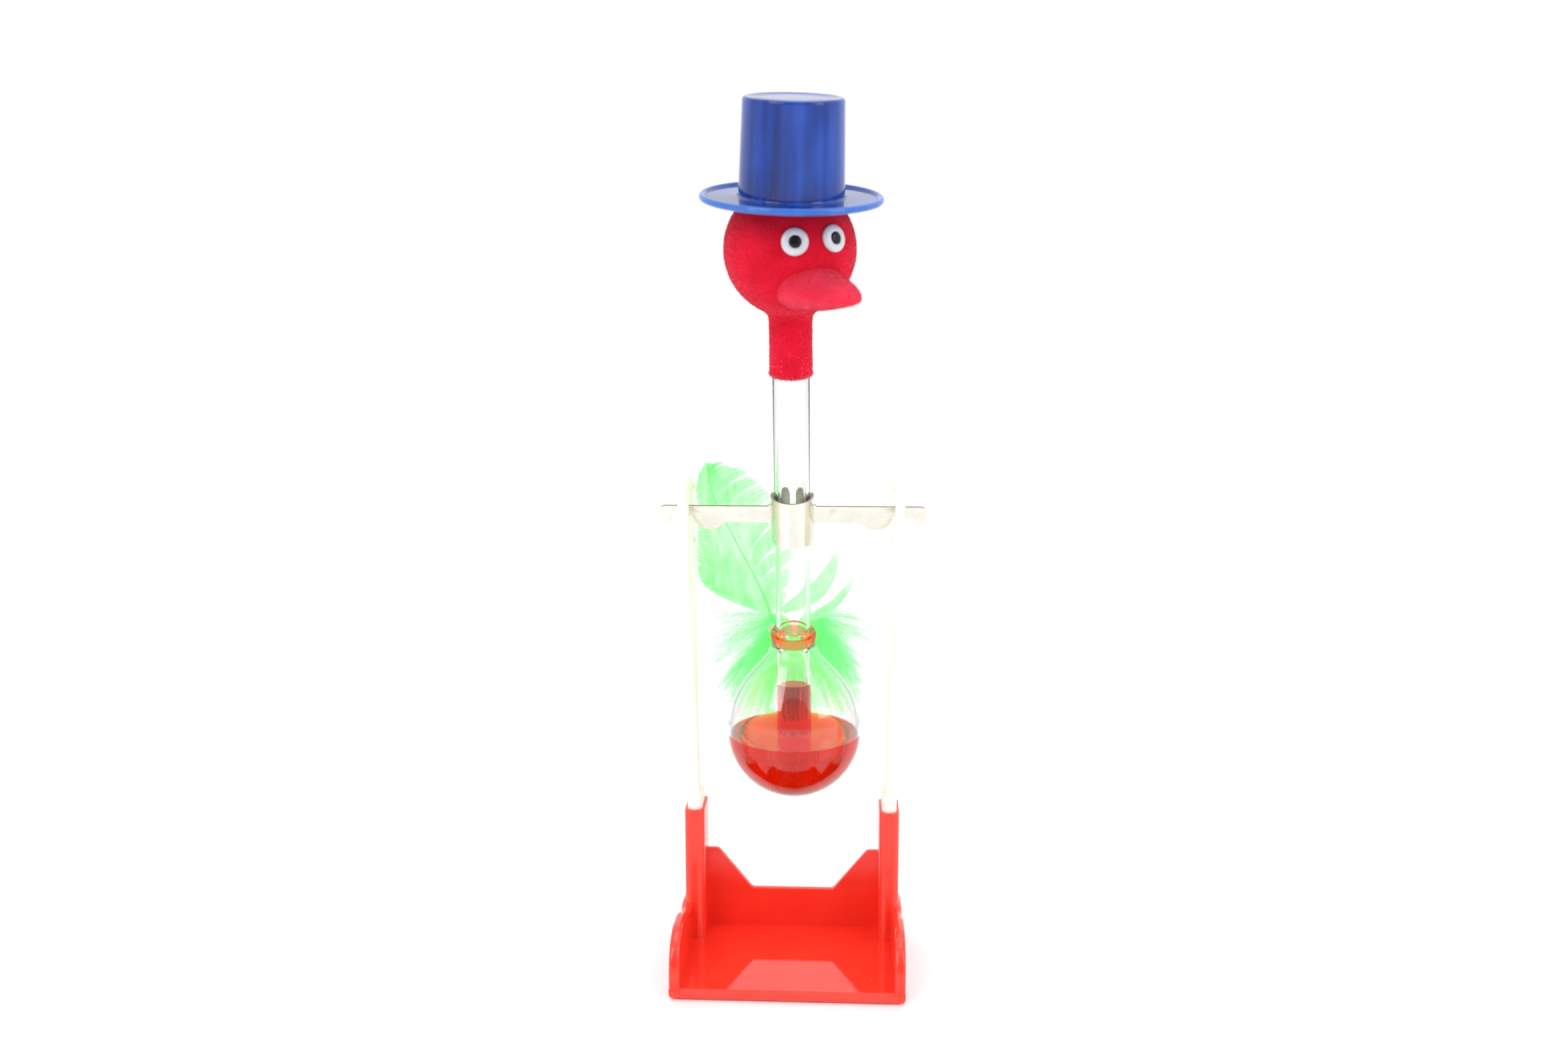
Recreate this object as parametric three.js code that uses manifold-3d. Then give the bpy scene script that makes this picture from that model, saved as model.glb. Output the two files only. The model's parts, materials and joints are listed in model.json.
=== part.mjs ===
// Drinking bird: a red tray stand with two ivory uprights, and a glass bird that rocks
// on a sheet-metal clip.
// Millimetres, +Z up.  The origin is on the underside of the tray, straight below the rocking axis.
// The bird faces -Y.  It is modelled leaning forward by LEAN, the pose it rests in.
import * as THREE from 'three';
import { mergeVertices } from 'three/addons/utils/BufferGeometryUtils.js';
import Module from 'manifold-3d';

const wasm = await Module();
wasm.setup();

// ---------------------------------------------------------------- driving dimensions
const GAP = 0.3;                 // clearance between neighbouring pieces

const TRAY_HALF = 29.4;          // half the inner width of the tray
const TRAY_WALL = 3;
const FLOOR_T = 3;
const TRAY_FRONT = -35.4;
const TRAY_BACK = 7.9;
const CHEEK_TOP = 17.2;          // crest of the side walls
const CHEEK_LOW = 13;            // height of the side walls where they meet the posts
const BACK_FACE = 4.9;           // front face of the back wall
const BACK_T = 1.9;
const BACK_TOP = 27.1;
const NOTCH_TOP_HALF = 21.4;
const NOTCH_LOW_HALF = 12.1;
const NOTCH_LOW = 14.7;

const POST_IN = 25.5;            // inner face of a post, measured from the middle
const POST_OUT = 31.35;
const POST_FRONT = -4.7;
const POST_TOP = 42.5;
const SOCKET_HALF_W = 2.2;
const SOCKET_FRONT = -3.6;
const SOCKET_BACK = 6.6;
const SOCKET_DEPTH = 13;

const HINGE_Z = 129;             // height of the rocking axis
const UPRIGHT_X = 30.1;          // middle of an upright at the rocking axis
const UPRIGHT_T = 2.5;
const SPLAY = THREE.MathUtils.degToRad(1.15);
const FORK_HALF = 10;            // half the depth of the forked head
const SLOT_HALF = 4.5;
const SLOT_FLOOR = -0.8;         // slot floor below the rocking axis
const PRONG_TOP = 11;

const LEAN = THREE.MathUtils.degToRad(13.2);
const TUBE_R = 5.15;
const TUBE_BORE = 4.1;
const TUBE_TOP = 60;             // all bird heights are measured along the tube from the rocking axis
const TUBE_LOW = -86;

const SHEET_T = 0.8;             // clip sheet
const SLEEVE_R = 6.12;
const SLEEVE_LOW = -7.2;
const SLEEVE_TOP = 6.6;
const ARM_END = 37.8;
const ARM_TOP = 3.2;
const ARM_LOW = -1.7;

const BULB_R = 20.3;
const BULB_S = -69.7;            // middle of the lower bulb
const BULB_WALL = 0.9;
const JOINT_R = 6.9;
const JOINT_S = -37.5;
const LIQUID_Z = 60.7;           // level of the liquid above the table
const COLUMN_TOP_Z = 76.7;

const HEAD_R = 17.3;
const HEAD_S = 75.6;
const HEAD_YAW = THREE.MathUtils.degToRad(25.3);
const FLOCK_T = 1.2;
const NECK_R = 6;
const NECK_LOW = 41.6;

const EYE_R = 3.45;
const PUPIL_R = 1.56;
const EYE_SPREAD = THREE.MathUtils.degToRad(17.8);
const EYE_RISE = THREE.MathUtils.degToRad(17);

const BRIM_R = 23.9;
const BRIM_S = 88.3;             // underside of the brim
const HAT_SHIFT = 0.5;           // the hat is glued on a little askew
const HAT_TILT = THREE.MathUtils.degToRad(1.8);
const CROWN_R = 13.8;
const CROWN_TOP_R = 13.05;
const HAT_H = 25.7;

const FEATHER_Y = 7.1;           // front face of the feather behind the tube
const FEATHER_T = 0.7;

const ROUND = 32;                // segments of a large turned piece
const SMALL_ROUND = 24;

// ---------------------------------------------------------------- helpers
const X_AXIS = new THREE.Vector3(1, 0, 0);
const Y_AXIS = new THREE.Vector3(0, 1, 0);
const Z_AXIS = new THREE.Vector3(0, 0, 1);

function signedVolume(geometry) {
  const p = geometry.attributes.position;
  const index = geometry.index;
  const [a, b, c] = [new THREE.Vector3(), new THREE.Vector3(), new THREE.Vector3()];
  let volume = 0;
  for (let i = 0; i < index.count; i += 3) {
    a.fromBufferAttribute(p, index.getX(i));
    b.fromBufferAttribute(p, index.getX(i + 1));
    c.fromBufferAttribute(p, index.getX(i + 2));
    volume += a.dot(b.cross(c)) / 6;
  }
  return volume;
}

// Shared vertices are merged, and the faces are turned outwards.
function closed(geometry) {
  const bare = geometry.clone();
  bare.deleteAttribute('normal');
  bare.deleteAttribute('uv');
  const merged = mergeVertices(bare, 1e-4);
  const corners = Array.from(merged.index.array);
  const kept = [];
  const flip = signedVolume(merged) < 0;
  for (let i = 0; i < corners.length; i += 3) {
    const [a, b, c] = corners.slice(i, i + 3);
    if (a !== b && b !== c && a !== c) kept.push(a, flip ? c : b, flip ? b : c);
  }
  merged.setIndex(kept);
  return merged;
}

function toSolid(geometry) {
  const shell = closed(geometry);
  return new wasm.Manifold(new wasm.Mesh({
    numProp: 3,
    vertProperties: Float32Array.from(shell.attributes.position.array),
    triVerts: Uint32Array.from(shell.index.array),
  }));
}

function toGeometry(solid) {
  const mesh = solid.getMesh();
  const geometry = new THREE.BufferGeometry();
  geometry.setAttribute('position', new THREE.BufferAttribute(mesh.vertProperties, 3));
  geometry.setIndex(Array.from(mesh.triVerts));
  return geometry;
}

// Turned piece: the profile is a list of [radius, height] pairs.
function lathe(profile, segments = ROUND) {
  const points = profile.map(([r, s]) => new THREE.Vector2(r, s));
  return new THREE.LatheGeometry(points, segments).rotateX(Math.PI / 2);
}

function arcPoints(cx, cy, r, from, to, steps) {
  const points = [];
  for (let i = 0; i <= steps; i += 1) {
    const angle = THREE.MathUtils.degToRad(from + (to - from) * i / steps);
    points.push([cx + r * Math.cos(angle), cy + r * Math.sin(angle)]);
  }
  return points;
}

function shapeOf(outline) {
  return new THREE.Shape(outline.map(([x, y]) => new THREE.Vector2(x, y)));
}

function bevelOptions(depth, bevel) {
  return {
    depth: depth - 2 * bevel,
    bevelEnabled: bevel > 0,
    bevelThickness: bevel,
    bevelSize: bevel,
    bevelOffset: -bevel,
    bevelSegments: 2,
    curveSegments: 10,
  };
}

// Plate whose outline is (x, z); it is `depth` thick and starts at y = front.
function plateXZ(outline, front, depth, bevel = 0) {
  const geometry = new THREE.ExtrudeGeometry(shapeOf(outline), bevelOptions(depth, bevel));
  geometry.applyMatrix4(new THREE.Matrix4().makeBasis(X_AXIS, Z_AXIS, Y_AXIS.clone().negate()));
  return geometry.translate(0, front + depth - bevel, 0);
}

// Plate whose outline is (y, z); it is `depth` thick and starts at x = left.
function plateYZ(outline, left, depth, bevel = 0) {
  const geometry = new THREE.ExtrudeGeometry(shapeOf(outline), bevelOptions(depth, bevel));
  geometry.applyMatrix4(new THREE.Matrix4().makeBasis(Y_AXIS, Z_AXIS, X_AXIS));
  return geometry.translate(left + bevel, 0, 0);
}

// Prism whose outline is (x, y); it stands from z = low to z = low + height.
function prism(outline, low, height, bevel = 0) {
  const geometry = new THREE.ExtrudeGeometry(shapeOf(outline), bevelOptions(height, bevel));
  return geometry.translate(0, 0, low + bevel);
}

function block(x0, x1, y0, y1, z0, z1) {
  const geometry = new THREE.BoxGeometry(x1 - x0, y1 - y0, z1 - z0);
  return geometry.translate((x0 + x1) / 2, (y0 + y1) / 2, (z0 + z1) / 2);
}

function rod(radius, low, high, segments = SMALL_ROUND) {
  const geometry = new THREE.CylinderGeometry(radius, radius, high - low, segments);
  return geometry.rotateX(Math.PI / 2).translate(0, 0, (low + high) / 2);
}

function mirrorX(outline) {
  return outline.map(([x, y]) => [-x, y]).reverse();
}

const MATERIALS = {
  tray: { color: 0xe8281e, roughness: 0.18, metalness: 0 },
  ivory: { color: 0xf6eecb, roughness: 0.4, metalness: 0 },
  plated: { color: 0xd9d2b4, roughness: 0.3, metalness: 1 },
  glass: { color: 0xeaf4f2, roughness: 0.02, metalness: 0, transparent: true, opacity: 0.3 },
  liquid: { color: 0xd92407, roughness: 0.05, metalness: 0, transparent: true, opacity: 0.85 },
  flock: { color: 0xcf1428, roughness: 0.95, metalness: 0 },
  eyeWhite: { color: 0xf4f4f2, roughness: 0.25, metalness: 0 },
  pupil: { color: 0x141013, roughness: 0.2, metalness: 0 },
  hat: { color: 0x2244b4, roughness: 0.2, metalness: 0 },
  feather: { color: 0x86e89a, roughness: 0.8, metalness: 0 },
  glue: { color: 0xe6e2d0, roughness: 0.3, metalness: 0 },
};

function piece(name, geometry, material) {
  const mesh = new THREE.Mesh(closed(geometry), new THREE.MeshStandardMaterial(MATERIALS[material]));
  mesh.name = name;
  return mesh;
}

// ---------------------------------------------------------------- tray with its posts
function postOutline() {
  const bevel = 1.5;
  const backRound = 0.8;
  return [
    [POST_IN + bevel, POST_FRONT],
    [POST_OUT - bevel, POST_FRONT],
    [POST_OUT, POST_FRONT + bevel],
    [POST_OUT, TRAY_BACK - backRound],
    [POST_OUT - backRound, TRAY_BACK],
    [POST_IN + backRound, TRAY_BACK],
    [POST_IN, TRAY_BACK - backRound],
    [POST_IN, POST_FRONT + bevel],
  ];
}

function socketOutline() {
  const middle = (POST_IN + POST_OUT) / 2;
  const r = SOCKET_HALF_W;
  return [
    ...arcPoints(middle, SOCKET_FRONT + r, r, 180, 360, 8),
    ...arcPoints(middle, SOCKET_BACK - r, r, 0, 180, 8),
  ];
}

// Side wall seen from the side (y, z): upright front edge, round crest, gentle fall to the post.
function cheekOutline() {
  const reach = 10.5;
  const springing = 7;
  const foot = 1;
  const front = TRAY_FRONT + 0.15;
  const crest = arcPoints(0, 0, 1, 90, 180, 9)
    .map(([c, s]) => [front + reach * (1 + c), springing + (CHEEK_TOP - springing) * s]);
  return [
    [TRAY_BACK - 1, foot],
    [TRAY_BACK - 1, CHEEK_LOW - 2],
    [POST_FRONT, CHEEK_LOW],
    [-10, CHEEK_LOW + 2],
    [-16.5, CHEEK_TOP - 0.6],
    ...crest,
    [front, foot],
  ];
}

function backOutline() {
  const half = POST_IN + 1;
  const corner = 1.2;
  return [
    [-half, 1],
    [half, 1],
    [half, BACK_TOP],
    [NOTCH_TOP_HALF + corner, BACK_TOP],
    [NOTCH_TOP_HALF - 0.2, BACK_TOP - 0.9],
    [NOTCH_LOW_HALF + 0.3, NOTCH_LOW + 0.3],
    [NOTCH_LOW_HALF - 0.5, NOTCH_LOW],
    [-NOTCH_LOW_HALF + 0.5, NOTCH_LOW],
    [-NOTCH_LOW_HALF - 0.3, NOTCH_LOW + 0.3],
    [-NOTCH_TOP_HALF + 0.2, BACK_TOP - 0.9],
    [-NOTCH_TOP_HALF - corner, BACK_TOP],
    [-half, BACK_TOP],
  ];
}

function trayGeometry() {
  const outer = TRAY_HALF + TRAY_WALL;
  const foot = 2.2;
  const floorSection = [
    ...arcPoints(outer - foot, foot, foot, 270, 360, 5),
    [outer, FLOOR_T],
    [-outer, FLOOR_T],
    ...arcPoints(-outer + foot, foot, foot, 180, 270, 5),
  ];
  let tray = toSolid(plateXZ(floorSection, TRAY_FRONT, TRAY_BACK - TRAY_FRONT));
  const frontBevel = [
    [TRAY_FRONT - 1, 1.8],
    [TRAY_FRONT, 1.8],
    [TRAY_FRONT + 1.2, FLOOR_T + 0.01],
    [TRAY_FRONT - 1, FLOOR_T + 0.01],
  ];
  tray = tray.subtract(toSolid(plateYZ(frontBevel, -TRAY_HALF, 2 * TRAY_HALF)));
  tray = tray.add(toSolid(plateXZ(backOutline(), BACK_FACE, BACK_T, 0.35)));
  const cheek = toSolid(plateYZ(cheekOutline(), TRAY_HALF, TRAY_WALL, 0.8));
  tray = tray.add(cheek).add(cheek.mirror([1, 0, 0]));
  const post = toSolid(prism(postOutline(), 1, POST_TOP - 1));
  const socket = toSolid(prism(socketOutline(), POST_TOP - SOCKET_DEPTH, SOCKET_DEPTH + 1));
  tray = tray.add(post).add(post.mirror([1, 0, 0]));
  tray = tray.subtract(socket).subtract(socket.mirror([1, 0, 0]));
  return toGeometry(tray);
}

// ---------------------------------------------------------------- uprights
// Side outline (y, z) of the blade, z measured from the rocking axis.
function bladeOutline() {
  const foot = POST_TOP + 3.2 - HINGE_Z;
  const stemHalf = 2.3;
  const stemMid = 1.2;
  const stemTop = foot + 22;
  const headLow = -28;
  return [
    [stemMid - stemHalf, foot],
    [stemMid + stemHalf, foot],
    [stemMid + stemHalf, stemTop],
    [5.6, -48],
    [FORK_HALF - 1, headLow],
    [FORK_HALF, headLow + 8],
    [FORK_HALF, PRONG_TOP - 2],
    [FORK_HALF - 2, PRONG_TOP],
    [SLOT_HALF + 1.2, PRONG_TOP],
    [SLOT_HALF, PRONG_TOP - 1.4],
    [SLOT_HALF, SLOT_FLOOR + 0.8],
    [SLOT_HALF - 0.8, SLOT_FLOOR],
    [-SLOT_HALF + 0.8, SLOT_FLOOR],
    [-SLOT_HALF, SLOT_FLOOR + 0.8],
    [-SLOT_HALF, PRONG_TOP - 1.4],
    [-SLOT_HALF - 1.2, PRONG_TOP],
    [-FORK_HALF + 2, PRONG_TOP],
    [-FORK_HALF, PRONG_TOP - 2],
    [-FORK_HALF, headLow + 8],
    [-FORK_HALF + 1, headLow],
    [-4.4, -48],
    [stemMid - stemHalf, stemTop],
  ];
}

function plugOutline() {
  const half = SOCKET_HALF_W - GAP;
  const front = SOCKET_FRONT + GAP;
  const back = SOCKET_BACK - GAP;
  return [
    ...arcPoints(0, front + half, half, 180, 360, 8),
    ...arcPoints(0, back - half, half, 0, 180, 8),
  ];
}

// Right-hand upright, built at its own place; `side` -1 mirrors it.
function uprightGeometry(side) {
  const blade = plateYZ(bladeOutline(), -UPRIGHT_T / 2, UPRIGHT_T, 0.4);
  blade.rotateY(SPLAY).translate(UPRIGHT_X, 0, HINGE_Z);
  const postMiddle = (POST_IN + POST_OUT) / 2;
  const plugLow = POST_TOP - SOCKET_DEPTH + GAP;
  const plug = prism(plugOutline(), plugLow, POST_TOP + 4.6 - plugLow, 0.5).translate(postMiddle, 0, 0);
  let solid = toSolid(blade).add(toSolid(plug));
  for (const height of [-8, 7.8]) {
    const nub = rod(1, 0, 1.4, 10).rotateY(-Math.PI / 2);
    nub.translate(UPRIGHT_X - UPRIGHT_T / 2 + 0.7, 6.5, HINGE_Z + height);
    solid = solid.add(toSolid(nub));
  }
  return toGeometry(side > 0 ? solid : solid.mirror([1, 0, 0]));
}

// ---------------------------------------------------------------- pivot clip
// Arm outline (x, s): inner lobe, notch over the upright, outer hook.
function armOutline() {
  const lobeIn = 18.6;
  const lobeOut = 28.3;
  const hookIn = 34.1;
  const lobeLow = -3.9;
  const lobeMid = 23.3;
  const lobe = [];
  for (let i = 0; i <= 6; i += 1) {
    const t = i / 6;
    const x = (1 - t) * (1 - t) * lobeIn + 2 * t * (1 - t) * (lobeIn + 2) + t * t * lobeMid;
    const s = (1 - t) * (1 - t) * ARM_LOW + 2 * t * (1 - t) * lobeLow + t * t * lobeLow;
    lobe.push([x, s]);
  }
  const riseTop = 0.6;
  const rise = arcPoints(0, 0, 1, 270, 360, 6)
    .map(([x, s]) => [lobeMid + x * (lobeOut - lobeMid), riseTop + s * (riseTop - lobeLow)]);
  const hook = arcPoints((hookIn + ARM_END) / 2, 0, (ARM_END - hookIn) / 2, 180, 360, 8);
  const corner = arcPoints(ARM_END - 1.6, ARM_TOP - 1.6, 1.6, 0, 90, 4);
  return [
    [SLEEVE_R - SHEET_T * 0.6, ARM_LOW - 1],
    [SLEEVE_R + 0.8, ARM_LOW],
    ...lobe,
    ...rise.slice(1, -1),
    [lobeOut, 0],
    ...hook,
    ...corner,
    [SLEEVE_R + 0.8, ARM_TOP],
    [SLEEVE_R - SHEET_T * 0.6, ARM_TOP + 0.8],
  ];
}

function clipGeometry() {
  const ring = [
    [SLEEVE_R - 0.65, SLEEVE_LOW],
    [SLEEVE_R, SLEEVE_LOW],
    [SLEEVE_R, SLEEVE_TOP],
    [SLEEVE_R - 0.65, SLEEVE_TOP],
    [SLEEVE_R - 0.65, SLEEVE_LOW],
  ];
  const splitHalf = 1.1;
  const reliefLow = 4.5;
  let clip = toSolid(lathe(ring, 36));
  const arm = toSolid(plateXZ(armOutline(), -SHEET_T / 2, SHEET_T));
  clip = clip.add(arm).add(arm.mirror([1, 0, 0]));
  clip = clip.subtract(toSolid(block(-splitHalf, splitHalf, 2, 8, SLEEVE_LOW - 1, SLEEVE_TOP + 1)));
  const relief = [[3.7, 9], ...arcPoints(4.3, reliefLow + 0.6, 0.6, 180, 360, 6), [4.9, 9]];
  const tabCorner = [[3.71, 9], [3.71, 6.2], [3.1, 6.75], [2.5, 6.92], [2.5, 9]];
  const splitCorner = [[0, 9], [0, 5.6], [1.1, 5.6], [1.35, 6.4], [1.9, 6.92], [1.9, 9]];
  for (const outline of [relief, tabCorner, splitCorner]) {
    const cutter = toSolid(plateXZ(outline, 1.5, 7));
    clip = clip.subtract(cutter).subtract(cutter.mirror([1, 0, 0]));
  }
  return toGeometry(clip);
}

// ---------------------------------------------------------------- glass
// Shoulder of the bulb, from the ball up to the neck joint, `inset` inside the outside.
function shoulder(inset) {
  const outline = [[19.3, -62.5], [18, -58.5], [16, -54.6], [13.4, -50.8], [10.6, -47.2], [8.4, -44]];
  return outline.map(([r, s]) => [r - inset * 0.85, s - inset * 0.6]);
}

function bulbOuter() {
  return [
    ...arcPoints(0, BULB_S, BULB_R, -90, 10, 10),
    ...shoulder(0),
    [JOINT_R + 0.1, JOINT_S - 3.6],
    [JOINT_R - 0.3, JOINT_S - 2.2],
    [JOINT_R, JOINT_S - 1],
    [JOINT_R, JOINT_S + 0.6],
    [JOINT_R - 0.5, JOINT_S + 1.8],
    [TUBE_R + 0.75, JOINT_S + 2.6],
  ];
}

// Inner wall of the lower bulb, `inset` inside its outside.
function bulbInner(inset) {
  return [...arcPoints(0, BULB_S, BULB_R - inset, -90, 10, 9), ...shoulder(inset)];
}

function bulbGeometry() {
  const inner = bulbInner(BULB_WALL);
  return lathe([
    ...bulbOuter(),
    [TUBE_R + GAP, JOINT_S + 2.6],
    [TUBE_R + GAP, JOINT_S + 1.4],
    [JOINT_R - 0.8, JOINT_S + 0.4],
    [JOINT_R - 0.8, JOINT_S - 1],
    [TUBE_R + GAP, JOINT_S - 2],
    [TUBE_R + GAP, -42],
    ...inner.reverse(),
  ]);
}

function tubeGeometry() {
  const lip = 0.35;
  return lathe([
    [TUBE_BORE, TUBE_LOW],
    [TUBE_R - lip, TUBE_LOW],
    [TUBE_R, TUBE_LOW + lip],
    [TUBE_R, TUBE_TOP],
    [TUBE_BORE, TUBE_TOP],
    [TUBE_BORE, TUBE_LOW],
  ], SMALL_ROUND);
}

function headBulbGeometry() {
  const outer = HEAD_R - FLOCK_T - GAP;
  const inner = outer - 0.9;
  const mouth = Math.asin(TUBE_BORE / inner) * 180 / Math.PI;
  const base = Math.asin((TUBE_R) / outer) * 180 / Math.PI;
  return lathe([
    ...arcPoints(0, HEAD_S, outer, -90 + base, 82, 9),
    [1.6, HEAD_S + outer + 1.2],
    [1.3, HEAD_S + outer + 2.6],
    [0, HEAD_S + outer + 3.2],
    [0, HEAD_S + outer - 0.9],
    ...arcPoints(0, HEAD_S, inner, 84, -90 + mouth, 9),
    [TUBE_BORE, TUBE_TOP + GAP],
    [TUBE_R, TUBE_TOP + GAP],
    [TUBE_R, HEAD_S - outer * Math.cos(THREE.MathUtils.degToRad(base))],
  ]);
}

// ---------------------------------------------------------------- liquid
// Everything below a level plane of the world, seen from the leaning bird.
function belowLevel(level) {
  const slab = block(-60, 60, -60, 60, level - 120, level);
  return toSolid(slab.translate(0, 0, -HINGE_Z).rotateX(-LEAN));
}

function bulbLiquidGeometry() {
  const body = bulbInner(BULB_WALL + GAP);
  const filled = toSolid(lathe([...body, [0, body[body.length - 1][1]]]));
  const bore = toSolid(rod(TUBE_R + GAP, TUBE_LOW - GAP, 0, 32));
  return toGeometry(filled.subtract(bore).intersect(belowLevel(LIQUID_Z)));
}

function columnLiquidGeometry() {
  const column = toSolid(rod(TUBE_BORE - GAP, TUBE_LOW + 0.4, -30, 32));
  return toGeometry(column.intersect(belowLevel(COLUMN_TOP_Z)));
}

function jointLiquidGeometry() {
  const inner = TUBE_R + GAP;
  const outer = JOINT_R - 0.8 - 0.2;
  const low = JOINT_S - 1.1;
  const high = JOINT_S + 0.3;
  return lathe([[inner, low], [outer, low + 0.3], [outer, high], [inner, high], [inner, low]]);
}

// ---------------------------------------------------------------- head
function flockGeometry() {
  const inner = HEAD_R - FLOCK_T;
  const neckIn = TUBE_R + GAP;
  const join = Math.asin((NECK_R + 1.4) / HEAD_R) * 180 / Math.PI;
  const joinS = HEAD_S - HEAD_R * Math.cos(THREE.MathUtils.degToRad(join));
  const innerJoin = Math.asin(neckIn / inner) * 180 / Math.PI;
  return lathe([
    [neckIn, NECK_LOW],
    [NECK_R - 0.15, NECK_LOW],
    [NECK_R, NECK_LOW + 1],
    [NECK_R, joinS - 2.6],
    [NECK_R + 0.3, joinS - 1.3],
    ...arcPoints(0, HEAD_S, HEAD_R, -90 + join, 76, 12),
    ...arcPoints(0, HEAD_S, inner, 76, -90 + innerJoin, 9),
    [neckIn, NECK_LOW],
  ]);
}

// The bill is a blunt bullet pressed flat, thinner towards its tip, cut to sit on the head.
function beakGeometry() {
  const length = 29.8;
  const halfWidths = [
    [0, 0], [9.4, 0], [9.1, 8], [8.2, 16], [6.8, 22], [5.1, 26], [3.2, length - 1.2], [0, length],
  ];
  const rootFlat = 0.62;
  const tipFlat = 0.37;
  const rise = THREE.MathUtils.degToRad(3.5);
  const bill = lathe(halfWidths, 24);
  const p = bill.attributes.position;
  for (let i = 0; i < p.count; i += 1) {
    const along = p.getZ(i) / length;
    p.setY(i, p.getY(i) * (rootFlat + (tipFlat - rootFlat) * along));
  }
  bill.rotateX(Math.PI / 2 - rise).translate(0, -8, -7.8);
  const ball = toSolid(new THREE.SphereGeometry(HEAD_R + GAP, 32, 20));
  const throat = toSolid(rod(NECK_R + 1.4 + GAP, -26, -8, 32));
  return toGeometry(toSolid(bill).subtract(ball).subtract(throat));
}

function eyeWhiteProfile() {
  const seat = HEAD_R + GAP;
  return [
    [0, seat],
    [2, seat - 0.11],
    [EYE_R, seat - 0.42],
    [EYE_R, seat + 0.1],
    [EYE_R - 0.4, seat + 0.5],
    [PUPIL_R + GAP, seat + 0.75],
    [PUPIL_R + GAP, seat + 0.35],
    [0, seat + 0.35],
  ];
}

function pupilProfile() {
  const seat = HEAD_R + 2 * GAP + 0.35;
  return [
    [0, seat],
    [PUPIL_R, seat],
    [PUPIL_R, seat + 0.2],
    [PUPIL_R - 0.4, seat + 0.42],
    [0, seat + 0.5],
  ];
}

// Turns a piece that points up along +Z so that it points out of the face at one eye.
function placeEye(mesh, side) {
  const facing = new THREE.Vector3(
    Math.sin(side * EYE_SPREAD),
    -Math.cos(side * EYE_SPREAD) * Math.cos(EYE_RISE),
    Math.sin(EYE_RISE),
  ).normalize();
  mesh.quaternion.setFromUnitVectors(Z_AXIS, facing);
  return mesh;
}

// ---------------------------------------------------------------- hat
// The hat stands on z = 0 and is open below, so the head fills its mouth.
function hatGeometry() {
  const mouth = 13;
  const roof = 1.6;
  return lathe([
    [mouth, 0],
    [BRIM_R - 1.5, -0.3],
    [BRIM_R - 0.4, -0.5],
    [BRIM_R, 0.1],
    [BRIM_R, 1.1],
    [BRIM_R - 0.5, 1.7],
    [BRIM_R - 1, 1.6],
    [BRIM_R - 1.4, 0.9],
    [CROWN_R + 0.3, 1.1],
    [CROWN_R, 1.6],
    [CROWN_TOP_R, HAT_H - 1.2],
    [CROWN_TOP_R - 0.4, HAT_H - 0.35],
    [CROWN_TOP_R - 1.2, HAT_H],
    [0, HAT_H],
    [0, HAT_H - roof],
    [mouth - 1.2, HAT_H - roof],
    [mouth, 0],
  ]);
}

// ---------------------------------------------------------------- tail feather
// Vane outline (x, s) seen from the front, on both sides of its quill.
function vaneOutline() {
  return [
    [-8.6, -34.6],
    [-3.5, -30],
    [-1, -22],
    [-0.6, -12],
    [-3, -2],
    [-6, 6],
    [-12, 6],
    [-16.5, 10.5],
    [-24.6, 13.2],
    [-27.2, 8],
    [-27.2, -21],
    [-22, -29],
    [-14, -33],
  ];
}

function quillCurve() {
  const y = FEATHER_Y + FEATHER_T;
  const stations = [[-6.8, -37.6], [-8.7, -29.9], [-14.9, -15.6], [-19.5, -5.5], [-23.6, 5], [-24.4, 11]];
  return new THREE.CatmullRomCurve3(stations.map(([x, s]) => new THREE.Vector3(x, y, s)));
}

function featherGeometry() {
  const vane = toSolid(plateXZ(vaneOutline(), FEATHER_Y, FEATHER_T));
  const section = shapeOf(arcPoints(0, 0, 0.65, 0, 315, 7));
  const quill = new THREE.ExtrudeGeometry(section, {
    steps: 12,
    bevelEnabled: false,
    extrudePath: quillCurve(),
  });
  return toGeometry(vane.add(toSolid(quill)));
}

function secondFeatherGeometry() {
  const strands = [
    [3.6, -33], [6.6, -33.5], [12, -26.5],
    [19, -20.4], [13, -22.5], [10.5, -19],
    [14.1, -10.4], [8, -17.5], [5, -25],
  ];
  return plateXZ(strands, FEATHER_Y, FEATHER_T);
}

// Down: a fan that leans back to stay behind the bulb; `side` -1 is the left one.
function downGeometry(side) {
  const tilt = THREE.MathUtils.degToRad(22);
  const right = [
    [2.6, 2], [9, 5], [21, 3], [26.5, -4], [25, -20],
    [24.5, -40], [16, -44], [8, -38], [2.6, -28],
  ];
  const left = [
    [2.6, 2], [9, 4], [20, 3], [26.6, -2], [27, -20],
    [26.6, -40], [22, -50], [12, -44], [2.6, -28],
  ];
  const outline = side > 0 ? right : mirrorX(left);
  return plateXZ(outline, 0, 1.4, 0.3).rotateX(tilt).translate(0, FEATHER_Y + 4.4, JOINT_S + 1);
}

function glueGeometry() {
  const bead = new THREE.SphereGeometry(1, 12, 8).scale(1.5, 1.1, 1.4);
  return bead.translate(-6.4, FEATHER_Y + 0.4, JOINT_S - 2);
}

// ---------------------------------------------------------------- assembly
const stand = new THREE.Group();
stand.add(piece('base_tray', trayGeometry(), 'tray'));
stand.add(piece('left_upright', uprightGeometry(-1), 'ivory'));
stand.add(piece('right_upright', uprightGeometry(1), 'ivory'));

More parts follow.
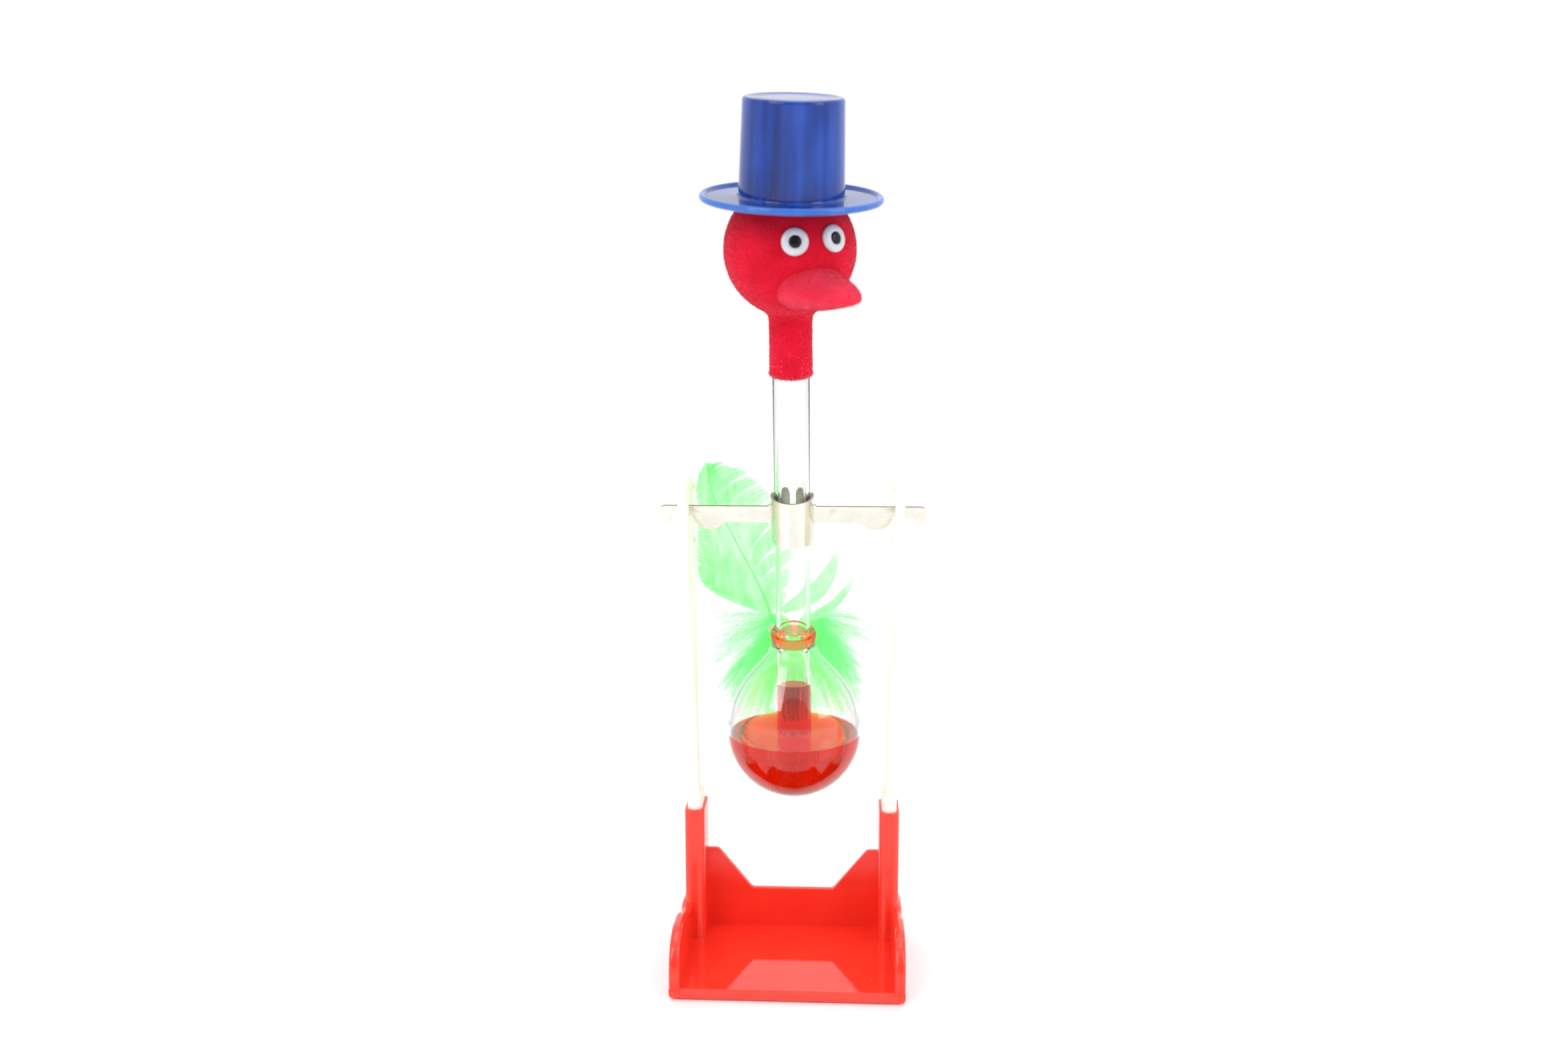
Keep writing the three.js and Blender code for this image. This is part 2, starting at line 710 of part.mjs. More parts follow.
const face = new THREE.Group();
face.position.set(0, 0, HEAD_S);
face.rotation.z = HEAD_YAW;
face.add(piece('beak', beakGeometry(), 'flock'));
for (const [name, side] of [['left', -1], ['right', 1]]) {
  face.add(placeEye(piece(`${name}_eye_white`, lathe(eyeWhiteProfile(), SMALL_ROUND), 'eyeWhite'), side));
  face.add(placeEye(piece(`${name}_pupil`, lathe(pupilProfile(), 18), 'pupil'), side));
}

const hat = new THREE.Group();
hat.position.set(HAT_SHIFT, 0, BRIM_S);
hat.rotation.y = HAT_TILT;
hat.add(piece('top_hat', hatGeometry(), 'hat'));

const bird = new THREE.Group();
bird.position.set(0, 0, HINGE_Z);
bird.rotation.x = LEAN;
bird.add(piece('pivot_clip', clipGeometry(), 'plated'));
bird.add(piece('glass_tube', tubeGeometry(), 'glass'));
bird.add(piece('lower_bulb', bulbGeometry(), 'glass'));
bird.add(piece('head_bulb', headBulbGeometry(), 'glass'));
bird.add(piece('bulb_liquid', bulbLiquidGeometry(), 'liquid'));
bird.add(piece('column_liquid', columnLiquidGeometry(), 'liquid'));
bird.add(piece('joint_liquid', jointLiquidGeometry(), 'liquid'));
bird.add(piece('flocked_head', flockGeometry(), 'flock'));
bird.add(face);
bird.add(hat);
bird.add(piece('tail_feather', featherGeometry(), 'feather'));
bird.add(piece('second_feather', secondFeatherGeometry(), 'feather'));
bird.add(piece('left_down', downGeometry(-1), 'feather'));
bird.add(piece('right_down', downGeometry(1), 'feather'));
bird.add(piece('glue_bead', glueGeometry(), 'glue'));

const drinkingBird = new THREE.Group();
drinkingBird.add(stand, bird);

export default drinkingBird;
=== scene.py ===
"""Looks of the drinking bird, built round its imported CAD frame.  Metres, +Z up.

The bird's own pieces are made in the bird's frame: x to the right, y to the back, s along the glass tube,
with zero on the rocking axis.  BIRD places that frame at the lean the bird rests in.
"""

import json
import math

import bmesh
import bpy
import numpy as np
from mathutils import Matrix, Vector


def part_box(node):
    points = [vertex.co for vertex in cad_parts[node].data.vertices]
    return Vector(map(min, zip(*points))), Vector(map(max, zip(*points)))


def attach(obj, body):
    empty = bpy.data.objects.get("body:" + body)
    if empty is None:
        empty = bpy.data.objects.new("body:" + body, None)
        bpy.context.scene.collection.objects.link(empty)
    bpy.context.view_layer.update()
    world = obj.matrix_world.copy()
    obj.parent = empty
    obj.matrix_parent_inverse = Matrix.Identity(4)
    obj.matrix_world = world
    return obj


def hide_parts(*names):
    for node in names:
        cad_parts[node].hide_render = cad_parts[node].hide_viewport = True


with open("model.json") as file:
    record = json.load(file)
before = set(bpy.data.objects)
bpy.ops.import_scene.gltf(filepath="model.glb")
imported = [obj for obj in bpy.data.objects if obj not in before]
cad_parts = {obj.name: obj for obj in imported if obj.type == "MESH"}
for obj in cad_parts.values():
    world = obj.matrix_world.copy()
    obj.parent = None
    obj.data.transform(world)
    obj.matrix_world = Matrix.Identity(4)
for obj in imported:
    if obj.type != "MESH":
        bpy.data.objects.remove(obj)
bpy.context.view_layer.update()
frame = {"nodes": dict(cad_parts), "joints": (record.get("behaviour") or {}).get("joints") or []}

MM = 0.001


# ---------------------------------------------------------------- places read from the frame
def joint(name):
    return next(j for j in frame["joints"] if j["name"] == name)


HINGE = Vector(joint("rock")["pos_m"])
TUBE_AXIS = Vector(joint("balance_slide")["axis"])
LEAN = math.atan2(-TUBE_AXIS.y, TUBE_AXIS.z)
BIRD = Matrix.Translation(HINGE) @ Matrix.Rotation(LEAN, 4, "X")
WORLD = Matrix.Identity(4)


def bird_box(node):
    """Lowest and highest corner of a CAD node, measured in the bird's frame."""
    to_bird = BIRD.inverted()
    corners = np.array([to_bird @ v.co for v in frame["nodes"][node].data.vertices])
    return corners.min(0), corners.max(0)


TUBE_LOW, TUBE_TOP = (corner[2] for corner in bird_box("glass_tube"))
TUBE_R = bird_box("glass_tube")[1][0]
TUBE_BORE = TUBE_R - 1.05 * MM
BULB_R = bird_box("lower_bulb")[1][0]
BULB_S = bird_box("lower_bulb")[0][2] + BULB_R
BULB_WALL = 0.9 * MM
JOINT_R = 6.9 * MM
JOINT_S = bird_box("lower_bulb")[1][2] - 2.6 * MM
FILM = 0.04 * MM                 # clearance between a liquid and the glass round it
SEAL = (JOINT_S - 4.2 * MM, JOINT_S + 2.6 * MM)      # where the bulb's neck ring is sealed to the tube
GLASS_IOR = 1.5
LIQUID_IOR = 1.36
LIQUID_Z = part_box("bulb_liquid")[1].z
COLUMN_TOP_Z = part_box("column_liquid")[1].z

HEAD_R = 17.3 * MM
HEAD_S = 75.6 * MM
HEAD_YAW = math.radians(25.3)
NECK_R = TUBE_R + 0.62 * MM
NECK_LOW = bird_box("flocked_head")[0][2]
FACE = BIRD @ Matrix.Translation((0, 0, HEAD_S)) @ Matrix.Rotation(HEAD_YAW, 4, "Z")
EYE_SPREAD = math.radians(17.8)
EYE_RISE = math.radians(17)

HAT = (
    BIRD
    @ Matrix.Translation((0.5 * MM, 0, 88.3 * MM))
    @ Matrix.Rotation(math.radians(1.8), 4, "Y")
)

SLEEVE_LOW, SLEEVE_TOP = (corner[2] for corner in bird_box("pivot_clip"))
SLEEVE_R = 6.12 * MM
SHEET = 0.65 * MM
ARM_END = bird_box("pivot_clip")[1][0]

FEATHER_Y = bird_box("tail_feather")[0][1] + 0.6 * MM


# ---------------------------------------------------------------- curves and outlines
def arc(cx, cy, r, start, end, steps):
    """Points on an arc, angles in degrees."""
    angles = [math.radians(start + (end - start) * i / steps) for i in range(steps + 1)]
    return [(cx + r * math.cos(a), cy + r * math.sin(a)) for a in angles]


def scaled(points, factor=MM):
    return [tuple(value * factor for value in point) for point in points]


def smooth_path(points, steps):
    """Catmull-Rom curve through the points, `steps` pieces to a span, in any number of dimensions."""
    p = np.array([points[0], *points, points[-1]], float)
    p[0] = 2 * p[1] - p[2]
    p[-1] = 2 * p[-2] - p[-3]
    path = []
    for i in range(1, len(p) - 2):
        for k in range(steps):
            t = k / steps
            path.append(tuple(0.5 * (
                2 * p[i]
                + (p[i + 1] - p[i - 1]) * t
                + (2 * p[i - 1] - 5 * p[i] + 4 * p[i + 1] - p[i + 2]) * t * t
                + (3 * p[i] - p[i - 1] - 3 * p[i + 1] + p[i + 2]) * t * t * t
            )))
    path.append(tuple(p[-2]))
    return path


def turned(profile, segments=96):
    """Closed turned surface.  The profile of (radius, s) runs from axis to axis, or closes on itself."""
    on_axis = profile[0][0] < 1e-9
    rings, verts, faces = [], [], []
    for r, s in profile:
        if r < 1e-9:
            rings.append([len(verts)] * segments)
            verts.append((0, 0, s))
        else:
            rings.append([len(verts) + k for k in range(segments)])
            turn = [2 * math.pi * k / segments for k in range(segments)]
            verts.extend((r * math.cos(a), r * math.sin(a), s) for a in turn)
    pairs = list(zip(rings, rings[1:]))
    if not on_axis:
        pairs.append((rings[-1], rings[0]))
    for low, high in pairs:
        for k in range(segments):
            n = (k + 1) % segments
            corners = [low[k], low[n], high[n], high[k]]
            face = list(dict.fromkeys(corners))
            if len(face) > 2:
                faces.append(face)
    return verts, faces


# ---------------------------------------------------------------- meshes and objects
def tidied(mesh, merge=1e-7):
    """Merges doubled vertices and turns the faces outwards."""
    work = bmesh.new()
    work.from_mesh(mesh)
    bmesh.ops.remove_doubles(work, verts=work.verts, dist=merge)
    bmesh.ops.recalc_face_normals(work, faces=work.faces)
    work.to_mesh(mesh)
    work.free()
    return mesh


def mesh_object(name, verts, faces, place=WORLD, tidy=True):
    mesh = bpy.data.meshes.new(name)
    mesh.from_pydata(verts, [], faces)
    if tidy:
        tidied(mesh)
    made = bpy.data.objects.new(name, mesh)
    bpy.context.scene.collection.objects.link(made)
    made.matrix_world = place
    return made


def finish_piece(piece, look, body="bird", stands_for=(), sharp=38, broad=None):
    """Smooth shading with sharp edges kept, a material, and a body to ride on.

    Faces larger than `broad` keep their own flat shading, so they mirror like true planes.
    """
    piece.data.shade_smooth()
    if sharp:
        piece.data.set_sharp_from_angle(angle=math.radians(sharp))
    if broad:
        for face in piece.data.polygons:
            face.use_smooth = face.area < broad
    piece.data.materials.append(look)
    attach(piece, body)
    if stands_for:
        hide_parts(*stands_for)
    return piece


def baked(piece):
    """Applies the piece's modifiers to its mesh."""
    bpy.context.view_layer.update()
    shape = bpy.data.meshes.new_from_object(piece.evaluated_get(bpy.context.evaluated_depsgraph_get()))
    piece.modifiers.clear()
    piece.data = shape
    return piece


def combine(piece, others, operation):
    """Boolean of the piece with each of the others, which are used up."""
    for other in others:
        cut = piece.modifiers.new("boolean", "BOOLEAN")
        cut.operation = operation
        cut.solver = "EXACT"
        cut.object = other
        baked(piece)
        bpy.data.objects.remove(other)
    return piece


def slab(name, outline, start, thickness, bevel, across, segments=3):
    """Plate with rounded rims, from `start` to `start + thickness` across one axis.

    The outline is in the other two axes, in the order x, y, z.
    """
    spot = {
        "x": lambda a, b, c: (c, a, b),
        "y": lambda a, b, c: (a, c, b),
        "z": lambda a, b, c: (a, b, c),
    }[across]
    work = bmesh.new()
    base = work.faces.new([work.verts.new(spot(a, b, start)) for a, b in outline])
    grown = bmesh.ops.extrude_face_region(work, geom=[base])
    moved = [v for v in grown["geom"] if isinstance(v, bmesh.types.BMVert)]
    bmesh.ops.translate(work, verts=moved, vec=spot(0, 0, thickness))
    bmesh.ops.recalc_face_normals(work, faces=work.faces)
    caps = [f for f in work.faces if len(f.verts) == len(outline)]
    if bevel:
        rims = list({edge for face in caps for edge in face.edges})
        bmesh.ops.bevel(
            work, geom=rims, offset=bevel, segments=segments, profile=0.5, affect="EDGES", clamp_overlap=True,
        )
    mesh = bpy.data.meshes.new(name)
    work.to_mesh(mesh)
    work.free()
    made = bpy.data.objects.new(name, mesh)
    bpy.context.scene.collection.objects.link(made)
    return made


class Strands:
    """Many tapered strands gathered in one mesh.  Each is a closed ribbon with a lozenge section."""

    def __init__(self):
        self.verts, self.faces = [], []

    def add(self, path, width, thickness, facing):
        """path: points from root to tip; width: half width at each point, zero at the tip."""
        path = [Vector(p) for p in path]
        first = len(self.verts)
        last = len(path) - 1
        for i, point in enumerate(path[:-1]):
            tangent = (path[i + 1] - path[max(i - 1, 0)]).normalized()
            side = tangent.cross(facing).normalized()
            up = side.cross(tangent)
            w = width[i]
            self.verts.extend([
                point + side * w, point + up * thickness,
                point - side * w, point - up * thickness,
            ])
        self.verts.append(path[last])
        tip = len(self.verts) - 1
        self.faces.append([first + 3, first + 2, first + 1, first])
        for i in range(last - 1):
            a = first + 4 * i
            for k in range(4):
                n = (k + 1) % 4
                self.faces.append([a + k, a + n, a + 4 + n, a + 4 + k])
        a = first + 4 * (last - 1)
        self.faces.extend([a + k, a + (k + 1) % 4, tip] for k in range(4))

    def build(self, name, place=BIRD):
        return mesh_object(name, self.verts, self.faces, place, tidy=False)


def taper(count, root, belly, power=1.0):
    """Half widths along a strand: `root` at the root, `belly` for most of it, zero at the tip."""
    widths = []
    for i in range(count):
        t = i / (count - 1)
        swell = root + (belly - root) * min(1, t * 4)
        widths.append(swell * max(0.0, 1 - t ** (2 * power)) ** 0.7)
    return widths


def bezier(a, b, c, steps):
    """Quadratic curve from a to c, pulled towards b."""
    points = []
    for i in range(steps + 1):
        t = i / steps
        points.append(a * (1 - t) ** 2 + b * 2 * t * (1 - t) + c * t * t)
    return points


# ---------------------------------------------------------------- node helpers
def node(tree, kind, inputs=None, **settings):
    """Adds a shader node.  An input is a value, or another node's output socket."""
    made = tree.nodes.new(kind)
    for key, value in settings.items():
        setattr(made, key, value)
    for key, value in (inputs or {}).items():
        if isinstance(value, bpy.types.NodeSocket):
            tree.links.new(value, made.inputs[key])
        else:
            made.inputs[key].default_value = value
    return made


def new_tree(name):
    look = bpy.data.materials.new(name)
    look.use_nodes = True
    look.node_tree.nodes.clear()
    return look, look.node_tree


def output(tree, surface, volume=None):
    end = node(tree, "ShaderNodeOutputMaterial", {"Surface": surface})
    if volume:
        tree.links.new(volume, end.inputs["Volume"])


def noise(tree, scale, detail=3.0, rough=0.55, stretch=None):
    """Noise in object space; scale is features to the metre."""
    place = node(tree, "ShaderNodeTexCoord").outputs["Object"]
    if stretch:
        place = node(tree, "ShaderNodeMapping", {"Vector": place, "Scale": stretch}).outputs["Vector"]
    made = node(
        tree, "ShaderNodeTexNoise",
        {"Vector": place, "Scale": scale, "Detail": detail, "Roughness": rough},
    )
    return made.outputs["Fac"]


def ramp(tree, fac, stops):
    """Colour ramp; stops are (place, colour) with colours as (r, g, b)."""
    made = node(tree, "ShaderNodeValToRGB", {"Fac": fac})
    elements = made.color_ramp.elements
    while len(elements) < len(stops):
        elements.new(0.5)
    for element, (place, colour) in zip(elements, stops):
        element.position = place
        element.color = (*colour, 1)
    return made.outputs["Color"]


def grey_ramp(tree, fac, stops):
    return ramp(tree, fac, [(place, (v, v, v)) for place, v in stops])


def bump(tree, height, distance, strength=1.0, normal=None):
    inputs = {"Height": height, "Distance": distance, "Strength": strength}
    if normal:
        inputs["Normal"] = normal
    return node(tree, "ShaderNodeBump", inputs).outputs["Normal"]


def calc(tree, operation, *values):
    return node(tree, "ShaderNodeMath", dict(enumerate(values)), operation=operation).outputs[0]


def own_place(tree):
    """Position in the piece's own frame, which is the bird's frame for the glass and liquids."""
    return node(tree, "ShaderNodeTexCoord").outputs["Object"]


def below(tree, level):
    """1 where the bird at rest is below this height above the table."""
    down = (0, math.sin(LEAN), math.cos(LEAN))
    rise = node(tree, "ShaderNodeVectorMath", {0: own_place(tree), 1: down}, operation="DOT_PRODUCT")
    return calc(tree, "LESS_THAN", rise.outputs["Value"], level - HINGE.z)


def from_axis(tree):
    flat = node(tree, "ShaderNodeVectorMath", {0: own_place(tree), 1: (1, 1, 0)}, operation="MULTIPLY")
    return node(tree, "ShaderNodeVectorMath", {0: flat.outputs[0]}, operation="LENGTH").outputs["Value"]


def between(tree, low, high):
    """1 where s lies between two heights along the tube."""
    s = node(tree, "ShaderNodeSeparateXYZ", {"Vector": own_place(tree)}).outputs["Z"]
    return calc(tree, "MULTIPLY", calc(tree, "GREATER_THAN", s, low), calc(tree, "LESS_THAN", s, high))


def specks(tree, scale, size):
    """1 on small scattered spots, 0 elsewhere: dust and flecks."""
    place = node(tree, "ShaderNodeTexCoord").outputs["Object"]
    cells = node(tree, "ShaderNodeTexVoronoi", {"Vector": place, "Scale": scale})
    near = grey_ramp(tree, cells.outputs["Distance"], [(size * 0.5, 1), (size, 0)])
    chosen = grey_ramp(tree, cells.outputs["Color"], [(0.72, 0), (0.74, 1)])
    return node(tree, "ShaderNodeMath", {0: near, 1: chosen}, operation="MULTIPLY").outputs[0]


def mixed(tree, fac, a, b):
    """Colour a at 0, colour b at 1."""
    made = node(tree, "ShaderNodeMix", {"Factor": fac}, data_type="RGBA")
    for slot_index, value in ((6, a), (7, b)):
        if isinstance(value, bpy.types.NodeSocket):
            tree.links.new(value, made.inputs[slot_index])
        else:
            made.inputs[slot_index].default_value = (*value, 1)
    return made.outputs[2]


# ---------------------------------------------------------------- materials
def tray_red():
    """Glossy injection-moulded polystyrene: faint flow marks, orange peel, a little dust."""
    look, tree = new_tree("tray_red_plastic")
    flow = noise(tree, 60, 4, stretch=(1, 1, 3))
    colour = ramp(tree, flow, [(0.3, (0.88, 0.036, 0.018)), (0.7, (0.93, 0.048, 0.024))])
    colour = mixed(tree, specks(tree, 300, 0.055), colour, (1.0, 0.45, 0.38))
    polish = grey_ramp(tree, noise(tree, 220, 5), [(0.35, 0.02), (0.75, 0.05)])
    normal = node(tree, "ShaderNodeNewGeometry").outputs["True Normal"]
    facing = node(tree, "ShaderNodeSeparateXYZ", {"Vector": normal})
    upright = calc(tree, "LESS_THAN", calc(tree, "ABSOLUTE", facing.outputs["Z"]), 0.6)
    rough = calc(tree, "ADD", polish, calc(tree, "MULTIPLY", upright, 0.16))
    peel = bump(tree, noise(tree, 300, 2), 0.006 * MM, 0.4)
    scratch = bump(tree, noise(tree, 900, 5, stretch=(1, 14, 1)), 0.003 * MM, 0.5, peel)
    shader = node(tree, "ShaderNodeBsdfPrincipled", {
        "Base Color": colour, "Roughness": rough, "Normal": scratch, "IOR": 1.55,
        "Subsurface Weight": 0.12, "Subsurface Radius": (1, 0.15, 0.1), "Subsurface Scale": 1.5 * MM,
    })
    output(tree, shader.outputs[0])
    return look


def ivory():
    """Translucent cream plastic of the uprights."""
    look, tree = new_tree("ivory_plastic")
    cloud = noise(tree, 90, 4, stretch=(1, 1, 0.25))
    colour = ramp(tree, cloud, [(0.3, (0.97, 0.95, 0.80)), (0.7, (0.99, 0.98, 0.89))])
    rough = grey_ramp(tree, noise(tree, 260, 5), [(0.3, 0.28), (0.8, 0.42)])
    skin = bump(tree, noise(tree, 700, 3), 0.02 * MM, 0.5)
    shader = node(tree, "ShaderNodeBsdfPrincipled", {
        "Base Color": colour, "Roughness": rough, "Normal": skin,
        "Subsurface Weight": 0.5, "Subsurface Radius": (1, 0.8, 0.45), "Subsurface Scale": 2.5 * MM,
    })
    output(tree, shader.outputs[0])
    return look


def plated_metal():
    """Nickel-plated spring sheet with a fine brushed grain and a warm tarnish."""
    look, tree = new_tree("plated_sheet")
    tarnish = noise(tree, 140, 5)
    tones = [(0.35, (0.70, 0.68, 0.61)), (0.62, (0.76, 0.74, 0.67)), (0.8, (0.66, 0.59, 0.45))]
    colour = ramp(tree, tarnish, tones)
    colour = mixed(tree, specks(tree, 500, 0.09), colour, (0.42, 0.36, 0.30))
    grain = noise(tree, 1500, 3, stretch=(0.05, 0.05, 1))
    rough = grey_ramp(tree, grain, [(0.3, 0.16), (0.8, 0.34)])
    brushed = bump(tree, grain, 0.01 * MM, 0.35)
    dents = bump(tree, noise(tree, 260, 2), 0.05 * MM, 0.35, brushed)
    shader = node(tree, "ShaderNodeBsdfPrincipled", {
        "Base Color": colour, "Metallic": 1.0, "Roughness": rough, "Normal": dents,
    })
    output(tree, shader.outputs[0])
    return look


def cut_edge():
    """Sheared edge of the sheet, darker and rougher than its faces."""
    look, tree = new_tree("sheared_edge")
    colour = ramp(tree, noise(tree, 900, 4), [(0.3, (0.20, 0.16, 0.13)), (0.7, (0.36, 0.30, 0.25))])
    shader = node(tree, "ShaderNodeBsdfPrincipled", {
        "Base Color": colour, "Metallic": 1.0, "Roughness": 0.45,
        "Normal": bump(tree, noise(tree, 2500, 3), 0.02 * MM, 0.6),
    })
    output(tree, shader.outputs[0])
    return look


def see_through(tree, shader):
    """Lets direct light pass through a clear material without a hard shadow."""
    paths = node(tree, "ShaderNodeLightPath")
    clear = node(tree, "ShaderNodeBsdfTransparent")
    return node(tree, "ShaderNodeMixShader", {
        0: paths.outputs["Is Shadow Ray"], 1: shader, 2: clear.outputs[0],
    }).outputs[0]


def wet_bulb(tree):
    """1 on the bulb's inner faces that touch liquid or the tube: the pool's wall, the ring, the seal."""
    centre = node(tree, "ShaderNodeVectorMath", {0: own_place(tree), 1: (0, 0, BULB_S)}, operation="SUBTRACT")
    reach = node(tree, "ShaderNodeVectorMath", {0: centre.outputs[0]}, operation="LENGTH").outputs["Value"]
    inner = calc(tree, "LESS_THAN", reach, BULB_R - BULB_WALL / 2)
    pool = calc(tree, "MULTIPLY", inner, below(tree, LIQUID_Z))
    hollow = calc(tree, "LESS_THAN", from_axis(tree), JOINT_R - 0.2 * MM)
    ring = calc(tree, "MULTIPLY", hollow, between(tree, JOINT_S - 2.6 * MM, JOINT_S + 1.6 * MM))
    fused = calc(tree, "LESS_THAN", from_axis(tree), TUBE_R + 0.25 * MM)
    seal = calc(tree, "MULTIPLY", fused, between(tree, *SEAL))
    return calc(tree, "MAXIMUM", pool, calc(tree, "MAXIMUM", ring, seal))


def wet_tube(tree):
    """1 on the tube's faces that touch liquid or the ring: outside in both, inside up to the column's top."""
    outside = calc(tree, "GREATER_THAN", from_axis(tree), (TUBE_R + TUBE_BORE) / 2)
    covered = calc(tree, "MAXIMUM", below(tree, LIQUID_Z), between(tree, *SEAL))
    dipped = calc(tree, "MULTIPLY", outside, covered)
    bore = calc(tree, "MULTIPLY", calc(tree, "SUBTRACT", 1, outside), below(tree, COLUMN_TOP_Z))
    return calc(tree, "MAXIMUM", dipped, bore)


def blown_glass(name, wet=None):
    """Clear soda glass: faintly green through its thickness, with slight waves from blowing.

    Where it is wet, light passes into liquid and not into air, so it bends much less.  Seen edge on, it
    fades to nothing.
    """
    look, tree = new_tree(name)
    waves = bump(tree, noise(tree, 70, 2), 0.02 * MM, 0.15)
    bend = GLASS_IOR
    if wet:
        less = calc(tree, "MULTIPLY", wet(tree), GLASS_IOR - GLASS_IOR / LIQUID_IOR)
        bend = calc(tree, "SUBTRACT", GLASS_IOR, less)
    glass = node(tree, "ShaderNodeBsdfGlass", {
        "Color": (1, 1, 1, 1), "Roughness": 0.0, "IOR": bend, "Normal": waves,
    })
    tint = node(tree, "ShaderNodeVolumeAbsorption", {"Color": (0.55, 0.75, 0.60, 1), "Density": 25.0})
    edge = node(tree, "ShaderNodeLayerWeight", {"Blend": 0.5}).outputs["Facing"]
    faint = node(tree, "ShaderNodeMapRange", {"Value": edge, "From Min": 0.72, "From Max": 0.92}).outputs[0]
    clear = node(tree, "ShaderNodeBsdfTransparent")
    skin = node(tree, "ShaderNodeMixShader", {0: faint, 1: glass.outputs[0], 2: clear.outputs[0]})
    output(tree, see_through(tree, skin.outputs[0]), tint.outputs[0])
    return look


def dyed_liquid(name, level, density=1500.0, dye=(0.990, 0.72, 0.05, 1), glow=5.0):
    """Volatile liquid dyed red: orange where it is thin, deep red where it is deep.

    Only its free surface, at `level` above the table, bends light; at its sides the wet glass does.  A
    faint glow stands for the light the dye scatters.
    """
    look, tree = new_tree(name)
    ripple = bump(tree, noise(tree, 120, 2), 0.03 * MM, 0.2)
    surface = node(tree, "ShaderNodeBsdfGlass", {
        "Color": (1, 0.72, 0.45, 1), "Roughness": 0.0, "IOR": 1.3, "Normal": ripple,
    })
    sides = node(tree, "ShaderNodeBsdfTransparent")
    skin = node(tree, "ShaderNodeMixShader", {
        0: below(tree, level - 0.03 * MM), 1: surface.outputs[0], 2: sides.outputs[0],
    })
    depth = node(tree, "ShaderNodeVolumeAbsorption", {"Color": dye, "Density": density})
    # Painted glow: the liquid gives off light of its own, standing in for the light its dye scatters.
    scattered = node(tree, "ShaderNodeEmission", {"Color": (1, 0.75, 0.05, 1), "Strength": glow})
    body = node(tree, "ShaderNodeAddShader", {0: depth.outputs[0], 1: scattered.outputs[0]})
    output(tree, see_through(tree, skin.outputs[0]), body.outputs[0])
    return look


def flock(name, dark, light, frayed=None):
    """Velvety flocking: short fibres that catch light at grazing angles.

    Pale bare specks show through between the two heights given by `frayed`.
    """
    look, tree = new_tree(name)
    grain = noise(tree, 2600, 4, 0.7)
    patch = noise(tree, 130, 3)
    both = node(tree, "ShaderNodeMath", {0: grain, 1: patch}, operation="ADD").outputs[0]
    half = node(tree, "ShaderNodeMath", {0: both, 1: 0.5}, operation="MULTIPLY").outputs[0]
    colour = ramp(tree, half, [(0.36, dark), (0.62, light)])
    if frayed:
        bare = calc(tree, "MULTIPLY", specks(tree, 1900, 0.26), between(tree, *frayed))
        colour = mixed(tree, bare, colour, (0.95, 0.45, 0.45))
    pile = bump(tree, grain, 0.12 * MM, 0.35)
    shader = node(tree, "ShaderNodeBsdfPrincipled", {
        "Base Color": colour, "Roughness": 0.95, "Normal": pile, "Specular IOR Level": 0.1,
        "Sheen Weight": 0.55, "Sheen Roughness": 0.45, "Sheen Tint": (1, 0.25, 0.35, 1),
    })
    output(tree, shader.outputs[0])
    return look


def eye_white():
    look, tree = new_tree("eye_white")
    colour = ramp(tree, noise(tree, 500, 4), [(0.3, (0.58, 0.61, 0.68)), (0.7, (0.70, 0.73, 0.78))])
    shader = node(tree, "ShaderNodeBsdfPrincipled", {
        "Base Color": colour, "Roughness": 0.28, "Coat Weight": 0.4, "Coat Roughness": 0.08,
        "Normal": bump(tree, noise(tree, 1400, 3), 0.02 * MM, 0.4),
    })
    output(tree, shader.outputs[0])
    return look


def pupil_black():
    look, tree = new_tree("pupil_black")
    colour = ramp(tree, noise(tree, 900, 4), [(0.3, (0.006, 0.005, 0.007)), (0.8, (0.02, 0.017, 0.02))])
    rough = grey_ramp(tree, noise(tree, 1500, 3), [(0.3, 0.12), (0.8, 0.3)])
    shader = node(tree, "ShaderNodeBsdfPrincipled", {
        "Base Color": colour, "Roughness": rough, "Specular IOR Level": 0.25,
    })
    output(tree, shader.outputs[0])
    return look


def hat_blue():
    """Royal-blue moulded plastic with draw marks down the crown and stray red flock on the brim; the brim's
    bead has a painted highlight.
    """
    look, tree = new_tree("hat_blue_plastic")
    draw = noise(tree, 330, 5, stretch=(1, 1, 0.02))
    cloud = noise(tree, 70, 3, stretch=(1, 1, 0.5))
    tone = calc(tree, "MULTIPLY", calc(tree, "ADD", draw, cloud), 0.5)
    blues = [(0.38, (0.002, 0.022, 0.17)), (0.5, (0.006, 0.042, 0.28)), (0.62, (0.014, 0.075, 0.42))]
    colour = ramp(tree, tone, blues)
    # Painted highlight: the brim's rolled bead is mixed towards a paler blue, as if it caught the light.
    bead_highlight = calc(tree, "GREATER_THAN", from_axis(tree), 22.3 * MM)
    colour = mixed(tree, calc(tree, "MULTIPLY", bead_highlight, 0.55), colour, (0.06, 0.22, 0.72))
    on_brim = between(tree, -2 * MM, 3.5 * MM)
    fleck = calc(tree, "MULTIPLY", specks(tree, 1000, 0.20), on_brim)
    fleck = calc(tree, "MAXIMUM", fleck, specks(tree, 500, 0.045))
    colour = mixed(tree, fleck, colour, (0.36, 0.05, 0.20))
    rough = grey_ramp(tree, draw, [(0.3, 0.04), (0.75, 0.14)])
    peel = bump(tree, noise(tree, 400, 2), 0.004 * MM, 0.25)
    marks = bump(tree, draw, 0.03 * MM, 0.5, peel)
    shader = node(tree, "ShaderNodeBsdfPrincipled", {
        "Base Color": colour, "Roughness": rough, "Normal": marks, "IOR": 1.46,
    })
    output(tree, shader.outputs[0])
    return look


